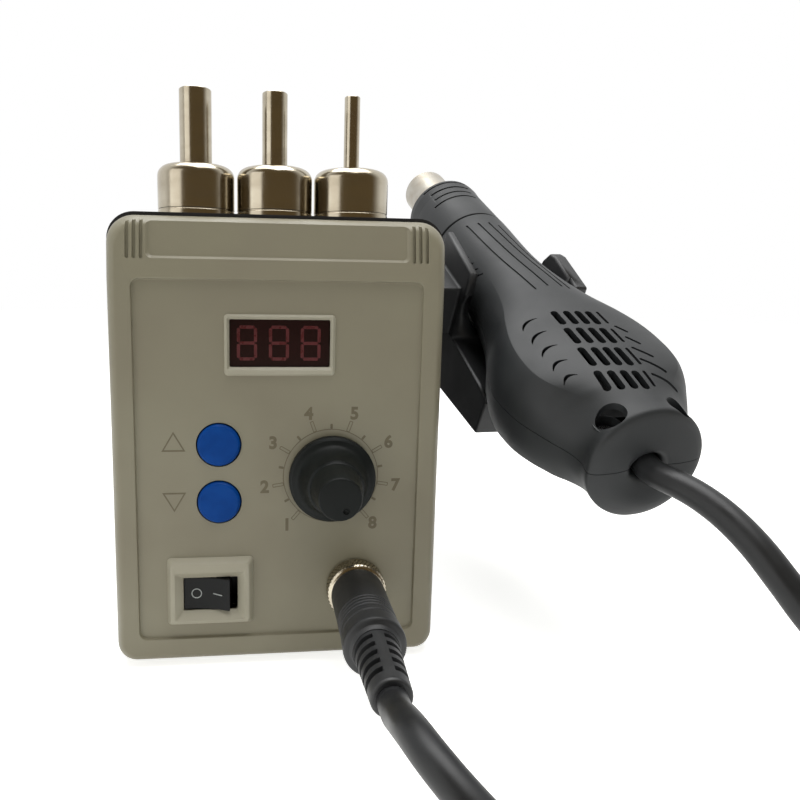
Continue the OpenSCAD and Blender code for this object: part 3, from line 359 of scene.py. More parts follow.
def stack(rings, cap_first=True, cap_last=True):
    """Skin over rings of equally many points, with a flat face on the first and the last."""
    n = len(rings[0])
    faces = grid_faces(len(rings), n)
    if cap_first:
        faces.append(list(range(n)))
    if cap_last:
        faces.append(list(range((len(rings) - 1) * n, len(rings) * n)))
    return np.concatenate(rings), faces


def at_levels(pairs):
    """Rings in space from pairs of an outline and its height."""
    return [np.c_[outline, np.full(len(outline), level)] for outline, level in pairs]


def prism(outline, low, high):
    """An outline raised from one height to another."""
    return stack(at_levels([(outline, low), (outline, high)]))


def ring_between(outer, inner, low, high):
    """A flat band between two outlines of equally many points, closed all round."""
    return stack(at_levels([(outer, low), (outer, high), (inner, high), (inner, low), (outer, low)]),
                 False, False)


def joined(shapes):
    """Several (points, faces) shapes as one."""
    points, faces, base = [], [], 0
    for p, f in shapes:
        points.append(p)
        faces += [[i + base for i in face] for face in f]
        base += len(p)
    return np.concatenate(points), faces


def placed(shape, place):
    """A shape with its points taken to their place."""
    return place(shape[0]), shape[1]


def moved(shape, x, y):
    """A shape shifted across its height."""
    return shape[0] + [x, y, 0], shape[1]


def solid(name, shape, material=None):
    """A closed mesh object of a shape in metres, its doubles merged and its faces turned outwards."""
    points, faces = shape
    mesh = bpy.data.meshes.new(name)
    mesh.from_pydata(points.tolist(), [], faces)
    work = bmesh.new()
    work.from_mesh(mesh)
    bmesh.ops.remove_doubles(work, verts=work.verts, dist=1e-6)
    bmesh.ops.recalc_face_normals(work, faces=work.faces)
    work.to_mesh(mesh)
    work.free()
    if material:
        mesh.materials.append(material)
    piece = bpy.data.objects.new(name, mesh)
    scene.collection.objects.link(piece)
    return piece


def settled(piece):
    """Keeps the result of a piece's modifiers as its own mesh."""
    bpy.context.view_layer.update()
    mesh = bpy.data.meshes.new_from_object(piece.evaluated_get(bpy.context.evaluated_depsgraph_get()))
    piece.modifiers.clear()
    piece.data = mesh
    return piece


def carved(piece, shapes, overlap=False):
    """Cuts shapes from a piece; overlap allows for shapes that cross each other."""
    tool = solid("tool", joined(shapes))
    step = piece.modifiers.new("carve", "BOOLEAN")
    step.operation = "DIFFERENCE"
    step.object = tool
    step.solver = "EXACT"
    step.use_self = overlap
    settled(piece)
    bpy.data.objects.remove(tool)
    return piece


def dressed(piece, body, replaces=(), edge=0.0, angle=35):
    """Rides a piece on its body, rounds its edges by some millimetres and smooths its curved faces."""
    piece.data.shade_smooth()
    if edge:
        bevel = piece.modifiers.new("edges", "BEVEL")
        bevel.width = edge * MM
        bevel.segments = 2
        bevel.limit_method = "ANGLE"
        bevel.angle_limit = math.radians(angle)
        bevel.harden_normals = True
        bevel.use_clamp_overlap = True
    else:
        piece.data.set_sharp_from_angle(angle=math.radians(angle))
    weighted = piece.modifiers.new("shading", "WEIGHTED_NORMAL")
    weighted.keep_sharp = True
    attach(piece, body)
    if replaces:
        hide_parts(*replaces)
    return piece


def made(name, shape, body, slot, replaces=(), edge=0.0, angle=35, material=None):
    """A new piece from a shape in metres, dressed; its finish is its slot's unless one is given."""
    return dressed(solid(name, shape, material or FINISHES[slot]), body, replaces, edge, angle)


def refined(node, edge=0.25, angle=35, longest_only=0.0):
    """A CAD node's own shape, merged, with its flat faces joined and its edges slightly rounded.
    With longest_only, in millimetres, just the sharp edges that are longer than that are rounded."""
    source = frame["nodes"][node]
    mesh = source.data.copy()
    work = bmesh.new()
    work.from_mesh(mesh)
    bmesh.ops.remove_doubles(work, verts=work.verts, dist=1e-6)
    bmesh.ops.dissolve_limit(work, angle_limit=math.radians(0.5), verts=work.verts, edges=work.edges)
    if longest_only:
        work.normal_update()
        weight = work.edges.layers.float.new("bevel_weight_edge")
        for e in work.edges:
            sharp = e.calc_face_angle(0) > math.radians(angle)
            e[weight] = float(sharp and e.calc_length() > longest_only * MM)
    work.to_mesh(mesh)
    work.free()
    piece = bpy.data.objects.new(node + "_finished", mesh)
    scene.collection.objects.link(piece)
    dressed(piece, source["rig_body"], (node,), edge, angle)
    if longest_only:
        piece.modifiers["edges"].limit_method = "WEIGHT"
        piece.modifiers["edges"].use_clamp_overlap = False
        piece.modifiers["edges"].segments = 3
    return piece


# Cord: one sheath from the plug's boot along the ground, through its coil and up into the handset's tail
CORD_D = 7.5
COIL_AT = np.array([190.0, -64.0])
COIL_R = 40.0
COIL_TURNS = 2.85
POINTS_A_TURN = 16
FRONT_ROUTE = [
    [23.8, -57, 24.6], [23.8, -59, 24.6], [23.6, -63.5, 25.8], [23.6, -69, 28.1], [24.2, -75.4, 29.9],
    [26.2, -81.8, 29.5], [30, -87.7, 27], [35.5, -92.8, 22.9], [42, -97.1, 18.1], [49.5, -100.8, 13.2],
    [58, -104.2, 8.9], [67, -107, 5.9], [76.5, -109, 4.2], [86, -110.5, 3.8], [95.5, -111.5, 3.8],
    [105, -112, 3.8], [114.5, -111.8, 3.8], [123.5, -110.3, 3.8], [131.8, -106.9, 3.8],
    [138.8, -101.3, 3.8], [144.2, -94.2, 3.8], [148, -84.5, 3.8], [149.6, -76, 3.8], [150, -70, 3.8]]
REAR_ROUTE = [
    [101.3, -27, 68.6], [102.2, -30.8, 67.8], [104.3, -36, 66.9], [107, -41.4, 65], [109.8, -47.4, 61.8],
    [112.5, -53.8, 57], [115.3, -60, 50.6], [118.6, -65.6, 43.8], [123.5, -69.5, 38],
    [129.5, -73.3, 33.4], [136.5, -77.4, 30], [144, -81.6, 27.6]]
INTO_TAIL = [[101.1, -24.6, 69.9], [100.6, -20.5, 71.9]]
COIL_OUT = [[151, -86, 26.4], [158.5, -90.8, 25.6]]


def cord_route():
    """Listed points up to the coil, a helix in it that rises by one thickness a turn, and
    listed points to the tail."""
    turn = np.linspace(0, COIL_TURNS, int(COIL_TURNS * POINTS_A_TURN) + 1)
    angle = np.pi - turn * 2 * np.pi
    coil = np.stack([COIL_AT[0] + COIL_R * np.cos(angle), COIL_AT[1] + COIL_R * np.sin(angle),
                     CORD_D * (0.51 + turn)], -1)
    return np.concatenate([FRONT_ROUTE, coil, COIL_OUT[::-1], REAR_ROUTE[::-1], INTO_TAIL])


def smooth_path(points, spacing=2.0):
    """A Catmull-Rom curve through the points, sampled about every spacing millimetres."""
    p = np.concatenate([[2 * points[0] - points[1]], points, [2 * points[-1] - points[-2]]])
    out = []
    for a, b, c, d in zip(p, p[1:], p[2:], p[3:]):
        t = np.linspace(0, 1, max(2, int(np.linalg.norm(c - b) / spacing) + 1), endpoint=False)[:, None]
        out.append(0.5 * (2 * b + (c - a) * t + (2 * a - 5 * b + 4 * c - d) * t ** 2
                          + (3 * b - a - 3 * c + d) * t ** 3))
    return np.concatenate(out + [points[-1:]])


def tube(path, r, sides=24):
    """Circles of radius r square to a path, each turned as little as can be from the one before."""
    heading = np.gradient(path, axis=0)
    heading /= np.linalg.norm(heading, axis=1)[:, None]
    side = np.cross(heading[0], [0, 0, 1])
    rings = []
    for h, centre in zip(heading, path):
        side = side - h * (side @ h)
        side /= np.linalg.norm(side)
        up = np.cross(side, h)
        angle = np.linspace(0, 2 * np.pi, sides, endpoint=False)[:, None]
        rings.append(centre + r * (np.cos(angle) * side + np.sin(angle) * up))
    return stack(rings)


path = smooth_path(cord_route())
GROUND_GAP = 0.02
path[:, 2] = np.maximum(path[:, 2], CORD_D / 2 + GROUND_GAP)
cord = solid("handset_cord", placed(tube(path, CORD_D / 2), station), FINISHES["cord_rubber"])
cord.data.shade_smooth()
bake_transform(cord)
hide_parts("cord_front", "cord_coil", "cord_rear")

# Floor, world and lamps: a pale sweep under soft light, white to the camera
FLOOR_R, FLOOR_GLOW = 3000, 0.8
# Strength of the world's light on the object
WORLD_LIGHT = 0.25
# Tone of the room that polished metal shows in front of the object, and the places, in metres, between
# which the floor that it shows turns from that tone to the white sweep
ROOM_DARK = "#67583e"
ROOM_EDGE, SWEEP_EDGE = -0.65, -0.3
# The same turn in the world: the direction's y where its white begins, and where the room's tone does
WORLD_WHITE, WORLD_ROOM = 0.25, -0.5


def make_floor():
    """A round sweep of white paper: it glows for the camera, and for metal and glass that show it."""
    material, tree, shader = blank("white_paper_sweep")
    shader.inputs["Roughness"].default_value = 0.9
    ray = add(tree, "LightPath")
    seen = add(tree, "Math", {}, {0: ray.outputs["Is Camera Ray"], 1: ray.outputs["Is Glossy Ray"]},
               operation="MAXIMUM")
    seen = add(tree, "Math", {}, {0: seen.outputs[0], 1: ray.outputs["Is Transmission Ray"]},
               operation="MAXIMUM")
    glow = add(tree, "Math", {1: FLOOR_GLOW}, {0: seen.outputs[0]}, operation="MULTIPLY")
    tree.links.new(glow.outputs[0], shader.inputs["Emission Strength"])
    place = add(tree, "NewGeometry").outputs["Position"]
    depth = add(tree, "SeparateXYZ", {}, {0: place}).outputs["Y"]
    room = add(tree, "MapRange", {"From Min": SWEEP_EDGE, "From Max": ROOM_EDGE}, {"Value": depth})
    shaded = add(tree, "Math", {}, {0: room.outputs["Result"], 1: ray.outputs["Is Glossy Ray"]},
                 operation="MULTIPLY")
    tone = add(tree, "Mix", {"A": linear("#f8f8f6"), "B": linear(ROOM_DARK)}, {0: shaded.outputs[0]},
               data_type="RGBA")
    tree.links.new(tone.outputs[2], shader.inputs["Base Color"])
    tree.links.new(tone.outputs[2], shader.inputs["Emission Color"])
    rim = circle(FLOOR_R)
    disc = (np.c_[rim, np.zeros(len(rim))], [list(range(len(rim)))])
    floor = solid("floor", placed(disc, station), material)


def make_world():
    """Soft light of one strength on the object, white to the camera; polished metal sees the white room
    behind the object and the darker room before it, by the direction's y."""
    world = bpy.data.worlds.new("studio")
    scene.world = world
    world.use_nodes = True
    tree = world.node_tree
    ray = add(tree, "LightPath")
    seen = add(tree, "Math", {}, {0: ray.outputs["Is Camera Ray"], 1: ray.outputs["Is Transmission Ray"]},
               operation="MAXIMUM")
    direction = add(tree, "TexCoord").outputs["Generated"]
    ahead = add(tree, "SeparateXYZ", {}, {0: direction}).outputs["Y"]
    side = add(tree, "MapRange", {"From Min": WORLD_ROOM, "From Max": WORLD_WHITE}, {"Value": ahead},
               interpolation_type="SMOOTHSTEP")
    room = add(tree, "Mix", {"A": linear(ROOM_DARK), "B": (1, 1, 1, 1)}, {0: side.outputs["Result"]},
               data_type="RGBA")
    shown = add(tree, "Mix", {"A": (1, 1, 1, 1)}, {0: ray.outputs["Is Glossy Ray"], "B": room.outputs[2]},
                data_type="RGBA")
    seen = add(tree, "Math", {}, {0: seen.outputs[0], 1: ray.outputs["Is Glossy Ray"]}, operation="MAXIMUM")
    level = add(tree, "MapRange", {"To Min": WORLD_LIGHT, "To Max": 1.0}, {"Value": seen.outputs[0]})
    tree.links.new(shown.outputs[2], tree.nodes["Background"].inputs["Color"])
    tree.links.new(level.outputs["Result"], tree.nodes["Background"].inputs["Strength"])


def lamp(name, at, towards, size, power, mirrored=True):
    """A rectangular soft light aimed at a point, its size in metres and its power in watts; polished
    faces don't show it unless it is mirrored."""
    data = bpy.data.lights.new(name, "AREA")
    data.shape = "RECTANGLE"
    data.size, data.size_y = size
    data.energy = power
    light = bpy.data.objects.new(name, data)
    aim = Vector(towards) - Vector(at)
    light.matrix_world = Matrix.Translation(station(at)) @ aim.to_track_quat("-Z", "Y").to_matrix().to_4x4()
    light.visible_glossy = mirrored
    scene.collection.objects.link(light)


make_floor()
make_world()
lamp("top_softbox", (40, 30, 900), (30, 20, 60), (0.9, 0.7), 9)
lamp("left_window", (-900, -500, 280), (20, 20, 60), (0.7, 0.9), 2.6)
lamp("front_fill", (100, -1100, 90), (20, 0, 40), (0.8, 0.6), 2.1, mirrored=False)

# Case: driving sizes of the front, as in the CAD source
BODY_W, BODY_H = 100.0, 136.0
BEZEL_Z = 1.2
BEZEL_TOP = BEZEL_Z + BODY_H
# How far the rim stands before the panel, and the back edge and the panel's back lie behind its face
RIM, BEZEL_BACK, PANEL_BACK = 1.2, 8, 3
PANEL_W, PANEL_Z, BAND_H = 84.5, 9.7, 18.3
PANEL_H = BEZEL_TOP - BAND_H - PANEL_Z
COVER_TOP = BEZEL_TOP + 1.2
BAND_MID = BEZEL_TOP - BAND_H / 2 + 2.4
# Window: width, height and the height of its middle
WINDOW = (29.6, 14.0, BEZEL_TOP - 36.5)
BUTTON_X, BUTTON_ZS, BUTTON_R = -18.1, (70.3, 52.65), 6.35
KNOB_AT, SHAFT_HOLE_R = (15.9, 59.9), 3.6
ROCKER_AT, ROCKER_SIZE = (-20.9, 23.7), (16.4, 10.6)
SOCKET_AT, SOCKET_R = (23.8, 24.6), 7.5


def rect_frame(outer, inner, height, slope, mouth, shift=(0, 0)):
    """A raised frame: sloping sides outside, a flat land, and a mouth that slopes down to its opening.
    Rings run from the outer foot over the land and down to below the face; shift moves the opening.
    mouth gives how much wider and higher the mouth is on each side, and its floor's height."""
    wide = (inner[0] + 2 * mouth[0], inner[1] + 2 * mouth[1])
    back = 0.1 - PANEL_BACK
    # By how much each ring is smaller than its outline, its corners' radius and its height
    outside = [(0, 1.2, -0.4), (0.2, 1.2, 0.3), (2 * slope - 0.5, 1.1, height - 0.5),
               (2 * slope, 1.0, height - 0.14), (2 * slope + 0.7, 0.9, height)]
    land = [(-0.5, 0.6, height), (0, 0.5, height - 0.2)]
    opening = [(0, 0.3, mouth[2]), (0, 0.3, back)]
    rings = [(round_rect(outer[0] - less, outer[1] - less, r), z) for less, r, z in outside]
    for (w, h), rows in ((wide, land), (inner, opening)):
        rings += [(round_rect(w - less, h - less, r) + shift, z) for less, r, z in rows]
    rings += [(round_rect(outer[0], outer[1], 1.2), back), rings[0]]
    return stack(at_levels(rings), False, False)


# How far the rim's inner edge is rounded back from the recess
RIM_ROUND = 0.45


def bezel():
    """Moulded front: a shoulder from the side to the rim, and a recessed panel inside it. The shoulder is
    a superellipse: inset = draw (1 - cos^power a), y = side_end - (side_end + RIM) sin^power a."""
    middle = BEZEL_Z + BODY_H / 2
    panel_mid = PANEL_Z + PANEL_H / 2 - middle
    wall = 3
    draw, side_end, power = 3.6, 6.7, 0.92
    upper_r, lower_r, panel_r = 8, 6, 2.4

    def outer(inset, y):
        """Outline of the front drawn in by inset, its upper corners rounder than its lower ones."""
        upper, lower = (round_rect(BODY_W - 2 * inset, BODY_H - 2 * inset, r - inset / 2, 12)
                        for r in (upper_r, lower_r))
        return np.where(upper[:, 1:] > 0, upper, lower), -y

    def inner(grow, y):
        """Outline of the panel, grown on each side."""
        return round_rect(PANEL_W + 2 * grow, PANEL_H + 2 * grow, panel_r + grow, 12) + [0, panel_mid], -y

    arc = np.linspace(0, np.pi / 2, 14)
    rings = [outer(wall, BEZEL_BACK), outer(0.3, BEZEL_BACK), outer(0, BEZEL_BACK - 0.3)]
    rings += [outer(draw * (1 - np.cos(a) ** power), side_end - (side_end + RIM) * np.sin(a) ** power)
              for a in arc]
    rings += [inner(RIM_ROUND, -RIM), inner(0.2, -RIM + 0.12), inner(0.05, -RIM + 0.4), inner(0, -0.15),
              inner(-0.2, 0)]
    back = [outer(wall, BEZEL_BACK), outer(wall, PANEL_BACK)]
    shape = joined([stack(at_levels(rows), False, True) for rows in (rings, back)])
    return solid("front_bezel_skin", placed(shape, at_panel(0, middle)), FINISHES["bezel_plastic"])


def panel_cuts():
    """Openings through the panel, the recessed name band and the grooves at its ends."""
    openings = [(round_rect(WINDOW[0], WINDOW[1], 0.5), (0, WINDOW[2]))]
    openings += [(circle(BUTTON_R + 0.4), (BUTTON_X, z)) for z in BUTTON_ZS]
    openings += [(circle(SHAFT_HOLE_R, 32), KNOB_AT), (circle(SOCKET_R + 0.1), SOCKET_AT),
                 (round_rect(*ROCKER_SIZE, 0.4), ROCKER_AT)]
    cuts = [placed(prism(outline, -6, 6), at_panel(*at)) for outline, at in openings]
    # Name band: width less than the panel's, height, corner radius and height over the panel
    plate = [(10, 9.8, 1.3, RIM - 0.8), (9.6, 10.2, 1.4, RIM - 0.7), (7.8, 11.6, 1.8, RIM + 0.1),
             (7.8, 11.6, 1.8, 4)]
    bands = [stack(at_levels([(round_rect(PANEL_W - less, h, r), z) for less, h, r, z in plate]))]
    for x in [side * (39.4 + 1.95 * i) for side in (-1, 1) for i in range(3)]:
        bands.append(prism(capsule((x, -5.4), (x, 5.4), 0.5), RIM - 1, 4))
    return cuts + [placed(band, at_panel(0, BAND_MID)) for band in bands]


BAND_LEAN = math.tan(math.radians(8.5))


def leaned_back(piece):
    """Leans the band over the panel backwards: y grows by its tangent times the height over the panel,
    fading to nothing at the depth of the bezel's back edge."""
    work = bmesh.new()
    work.from_mesh(piece.data)
    foot = station([0, 0, PANEL_Z + PANEL_H + RIM_ROUND])
    everything = work.verts[:] + work.edges[:] + work.faces[:]
    bmesh.ops.bisect_plane(work, geom=everything, plane_co=foot, plane_no=(0, 0, 1))
    depth = BEZEL_BACK * MM
    for v in work.verts:
        fade = min(max((depth + foot[1] - v.co.y) / depth, 0), 1)
        v.co.y += BAND_LEAN * max(v.co.z - foot[2], 0) * fade
    work.to_mesh(piece.data)
    work.free()
    return piece


front = leaned_back(carved(bezel(), panel_cuts()))
dressed(front, "station", ("front_bezel",), 0.15)
# The frames' openings lie off their middles by these heights
DISPLAY_SHIFT, SWITCH_SHIFT = 0.55, -0.9
display_frame = rect_frame((WINDOW[0] + 3.2, WINDOW[1] + 4.2), WINDOW[:2], 0.9, 0.5, (0.5, 0.6, 0.1),
                           (0, DISPLAY_SHIFT))
switch_frame = rect_frame((ROCKER_SIZE[0] + 9.8, ROCKER_SIZE[1] + 10.9), ROCKER_SIZE, SWITCH_LAND, 1.3,
                          (2.1, 2.1, 0.5), (0, SWITCH_SHIFT))
# Both frames take the bezel's ABS painted a tone paler, as painted light for the light they catch
made("display_frame", placed(display_frame, at_panel(0, WINDOW[2] - DISPLAY_SHIFT)), "station",
     "bezel_plastic", material=PAINTED_LIGHT_FRAME_PLASTIC)
made("switch_frame", placed(switch_frame, at_panel(ROCKER_AT[0], ROCKER_AT[1] - SWITCH_SHIFT)), "station",
     "bezel_plastic", material=PAINTED_LIGHT_FRAME_PLASTIC)


def segments(width, height, bar):
    """The seven bars of a numeral eight, each a slim hexagon that ends short of its neighbours."""
    flat = np.array([[-1, 0], [-0.86, 1], [0.86, 1], [1, 0], [0.86, -1], [-0.86, -1]])
    gap = bar * 0.2
    level = flat * [width / 2 - gap, bar / 2]
    tall = (flat * [height / 4 - gap, bar / 2])[:, ::-1]
    return ([level + [0, z] for z in (-height / 2, 0, height / 2)]
            + [tall + [x, z] for x in (-width / 2, width / 2) for z in (-height / 4, height / 4)])


# Unlit segments as the window shows them, a hair in front of its face
SEGMENT_XS = (-9.7, -0.3, 9.1)
SEGMENT_W, SEGMENT_H, SEGMENT_BAR = 5.0, 9.4, 0.95
window_face = (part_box("display_window")[0].y - ZERO[1]) / MM
bars = [placed(prism(o, -0.01, 0.03), at_panel(x, WINDOW[2], window_face)) for x in SEGMENT_XS
        for o in segments(SEGMENT_W, SEGMENT_H, SEGMENT_BAR)]
made("display_segments", joined(bars), "station", "display_black", material=UNLIT)


# Panel marks: dial bars, digits and triangles, printed from just below the panel's face to a hair above it
INK = (-0.05, 0.06)
# Dial: circle's radius, first mark's angle, step from digit to digit, radius of the digits, their size
DIAL_R, DIAL_START, DIAL_STEP = 14.5, 229.3, 39.8
DIGIT_R, DIGIT_SIZE = 20.4, 5.2
# The dial's middle, which lies a little off the knob's
DIAL_AT = (KNOB_AT[0] - 0.25, KNOB_AT[1] + 0.4)


def dial_marks():
    """A thin circle, a hollow bar for each digit and the short bars between them."""
    half_line = 0.11
    shapes = [ring_between(circle(DIAL_R + half_line, 96), circle(DIAL_R - half_line, 96), *INK)]
    for i in range(15):
        angle = math.radians(DIAL_START - DIAL_STEP / 2 * i)
        turn = np.array([[math.cos(angle), math.sin(angle)], [-math.sin(angle), math.cos(angle)]])
        if i % 2 == 0:
            outer = (round_rect(3.4, 1.1, 0.2, 3) + [DIAL_R + 1.8, 0]) @ turn
            inner = (round_rect(3.0, 0.7, 0.1, 3) + [DIAL_R + 1.8, 0]) @ turn
            shapes.append(ring_between(outer, inner, *INK))
        else:
            shapes.append(prism((round_rect(1.5, 0.7, 0.15, 3) + [DIAL_R + 0.9, 0]) @ turn, *INK))
    return joined(shapes)


made("dial_marks", placed(dial_marks(), at_panel(*DIAL_AT)), "station", "bezel_plastic", material=PRINT)


def digit(text, x, z):
    """One plain numeral as a thin mesh on the panel."""
    curve = bpy.data.curves.new("numeral", "FONT")
    curve.body = text
    curve.size = DIGIT_SIZE * MM
    curve.align_x = "CENTER"
    curve.align_y = "CENTER"
    curve.extrude = INK[1] * MM
    curve.offset = 0.2 * MM
    curve.resolution_u = 4
    source = bpy.data.objects.new("numeral", curve)
    scene.collection.objects.link(source)
    bpy.context.view_layer.update()
    mesh = bpy.data.meshes.new_from_object(source.evaluated_get(bpy.context.evaluated_depsgraph_get()))
    bpy.data.objects.remove(source)
    place = Matrix.Translation(station([x, 0, z])) @ Matrix.Rotation(math.pi / 2, 4, "X")
    mesh.transform(place)
    mesh.materials.clear()
    mesh.materials.append(PRINT)
    piece = bpy.data.objects.new("dial_numeral_" + text, mesh)
    scene.collection.objects.link(piece)
    return dressed(piece, "station")


for i in range(8):
    angle = math.radians(DIAL_START - DIAL_STEP * i)
    digit(str(i + 1), DIAL_AT[0] + DIGIT_R * math.cos(angle), DIAL_AT[1] + DIGIT_R * math.sin(angle))


def triangle(turned_over):
    """Outline of an upright or hanging triangle, as a thin band."""
    flip = -1 if turned_over else 1
    outer = np.array([[-3.5, -2.5], [3.5, -2.5], [0, 3.5]]) * [1, flip]
    return ring_between(outer, outer * 0.8 + [0, -0.06 * flip], *INK)


TRIANGLE_X, TRIANGLE_UP = -31.4, 0.6
for z, over, name in zip(BUTTON_ZS, (False, True), ("mark_up", "mark_down")):
    made(name, placed(triangle(over), at_panel(TRIANGLE_X, z + TRIANGLE_UP)), "station", "bezel_plastic",
         material=PRINT)

# Buttons, knob and rocker; a button is its flange behind the panel, its side and its bevelled face
BUTTON_ROWS = [[0, -4.3], [7.65, -4.3], [7.65, -3.3], [BUTTON_R, -3.3], [BUTTON_R, 0.45], [5.75, 1.1],
               [0, 1.25]]
BUTTON_ROUNDS = [0, 0.2, 0.2, 0.1, 0.3, 0.25, 0]
for z, name, body in zip(BUTTON_ZS, ("button_up", "button_down"), ("up_button", "down_button")):
    button = lathe(rounded(BUTTON_ROWS, BUTTON_ROUNDS, closed=False))
    made(name + "_cap", placed(button, at_panel(BUTTON_X, z)), body, "button_blue", (name,), angle=50)

KNOB_TOP = 21.8


def knob():
    """Skirted knob: flange, hollow cone, waist edge and tapering cap. The cone is r = 12.2 - 3.9 t^0.62,
    h = 3.95 + 7.45 t^1.5, with t from 0 at the flange to 1 at the waist."""
    t = np.linspace(0, 1, 10)
    flange = rounded([[12.65, 0.6], [13.15, 1.0], [13.15, 3.2], [12.35, 3.9]], 0.25, closed=False)
    cone = np.stack([12.2 - 3.9 * t ** 0.62, 3.95 + 7.45 * t ** 1.5], -1)
    cap = rounded([[8.15, 11.5], [7.5, 12.1], [6.15, 21.4], [5.65, KNOB_TOP]], 0.3, closed=False)
    inside = [[0, 3.2], [8, 3.2], [8, 0.6]]
    return lathe(np.concatenate([inside, flange, cone, cap, [[0, KNOB_TOP]]]), 128)


def pointer_dimple():
    """A shallow bowl, r = R sin a, h = -D cos a, open upwards."""
    radius, depth = 0.9, 0.7
    bowl = [[radius * math.sin(a), -depth * math.cos(a)] for a in np.linspace(0.2, 1.5, 6)]
    shape = lathe([[0, -depth]] + bowl + [[radius, 2], [0, 2]], 32)
    return placed(shape, at_panel(KNOB_AT[0] + 1.65, KNOB_AT[1] - 3.35, -KNOB_TOP))


knob_piece = solid("airflow_knob_cap", placed(knob(), at_panel(*KNOB_AT)), FINISHES["knob_grey"])
carved(knob_piece, [pointer_dimple()])
dressed(knob_piece, "knob", ("airflow_knob",), angle=40)
refined("rocker", 0.35)
refined("rocker_housing", 0.1)


def rocker_marks():
    """The O and the line of the rocker, each on its own half."""
    pivot_y, rest_tilt = 5.05, -10
    pivot = np.array([ROCKER_AT[0], pivot_y, ROCKER_AT[1]])
    turn = turned(2, rest_tilt)

    def on_face(p):
        """Lays points on the rocker's hollow front, 5.5 + 0.9 (|x| / 7.1)^1.7 before its pivot, and
        tilts them with it."""
        x = p[:, 0]
        depth = 5.5 + 0.9 * (np.abs(x) / 7.1) ** 1.7
        return station(np.stack([x, -depth - p[:, 2], p[:, 1]], -1) @ turn.T + pivot)

    ink = (-0.1, INK[1])
    ring = ring_between(circle(1.58, 40, (-3.3, 0)), circle(1.3, 40, (-3.3, 0)), *ink)
    dash = prism(capsule((1.9, 0.1), (4.5, -0.3), 0.15), *ink)
    return placed(joined([ring, dash]), on_face)


made("rocker_marks", rocker_marks(), "power_rocker", "switch_black", material=WHITE_PRINT)


# Lock ring, plug and boot
TEETH, GROOVE_DEPTH, STEPS_A_TOOTH = 44, 0.35, 8
KNURL_LOW, KNURL_HIGH, KNURL_R = 0.95, 5.05, 9.15


def lock_ring():
    """A ring whose side carries crossing helical grooves: r = R - depth (1 - min(2.2 w, 1)), where w is the
    smaller |sin (teeth a / 2 +- 5 lay)| of the two helices and lay goes from 0 to 1 up the side."""
    side = [[KNURL_R, h] for h in np.linspace(1.1, 4.9, 20)]
    profile = [[7.6, 0.5], [8.7, 0.5], [9.05, 0.85]] + side
    profile += [[9.05, 5.2], [8.55, 5.7], [8.0, 6.0], [7.6, 6.0], [7.6, 0.5]]
    points, faces = lathe(profile, TEETH * STEPS_A_TOOTH)
    angle = np.arctan2(points[:, 1], points[:, 0])
    radius = np.hypot(points[:, 0], points[:, 1])
    h = points[:, 2]
    lay = np.clip((h - KNURL_LOW) / (KNURL_HIGH - KNURL_LOW), 0, 1)
    on_side = (h > KNURL_LOW) & (h < KNURL_HIGH) & (radius > KNURL_R - 0.65)
    helices = [np.abs(np.sin(TEETH / 2 * angle + way * 5 * lay)) for way in (1, -1)]
    cut = np.where(on_side, GROOVE_DEPTH * (1 - np.clip(np.minimum(*helices) * 2.2, 0, 1)), 0)
    points[:, :2] *= ((radius - cut) / radius)[:, None]
    return points, faces


made("lock_ring_knurled", placed(lock_ring(), at_panel(*SOCKET_AT)), "lock_ring", "nickel", ("lock_ring",),
     angle=40)


def plug():
    """Plug grip: a plain barrel before the ring, four fine ribs, a waist and a collar with a stepped end."""
    profile = [[0, 5], [7.3, 5], [7.3, 6.2], [8.1, 6.2], [8.2, 7], [8.1, 21]]
    for i in range(4):
        h = 21.6 + 1.5 * i
        profile += [[8.15, h], [8.15, h + 0.8], [7.95, h + 0.95], [7.95, h + 1.3]]
    waist = [[8.1, 28.2], [8.1, 29.6], [7.8, 29.8], [7.8, 30.4]]
    collar_rows = [[8.35, 30.7], [8.5, 34.8], [8.4, 35.6], [7.9, 36]]
    end = [[6.9, 36.2], [6.5, 36.8], [6.3, 37.4], [0, 37.4]]
    return lathe(rounded(profile + waist + collar_rows + end, 0.12, 3, closed=False), 96)


made("plug_grip", placed(plug(), at_panel(*SOCKET_AT)), "station", "plug_rubber", ("plug_body",), angle=40)


def boot():
    """Bend relief: a taper cut by five slots on its left side and five on its right."""
    taper = [[0, 36.6], [6.1, 36.6], [5.9, 41], [5.1, 56.4], [4.7, 57], [0, 57]]
    place = at_panel(*SOCKET_AT)
    shape = placed(lathe(rounded(taper, 0.3, 4, closed=False), 96), place)
    half_slot, right_slot = 0.85, round_rect(8, 12, 0.5, 3) + [5.4, 0]
    cuts = [placed(prism(side * right_slot, h - half_slot, h + half_slot), place)
            for h in 39.4 + 3.3 * np.arange(5) for side in (1, -1)]
    piece = carved(solid("bend_relief", shape, FINISHES["plug_rubber"]), cuts)
    return dressed(piece, "station", ("strain_relief",), 0.12)


boot()


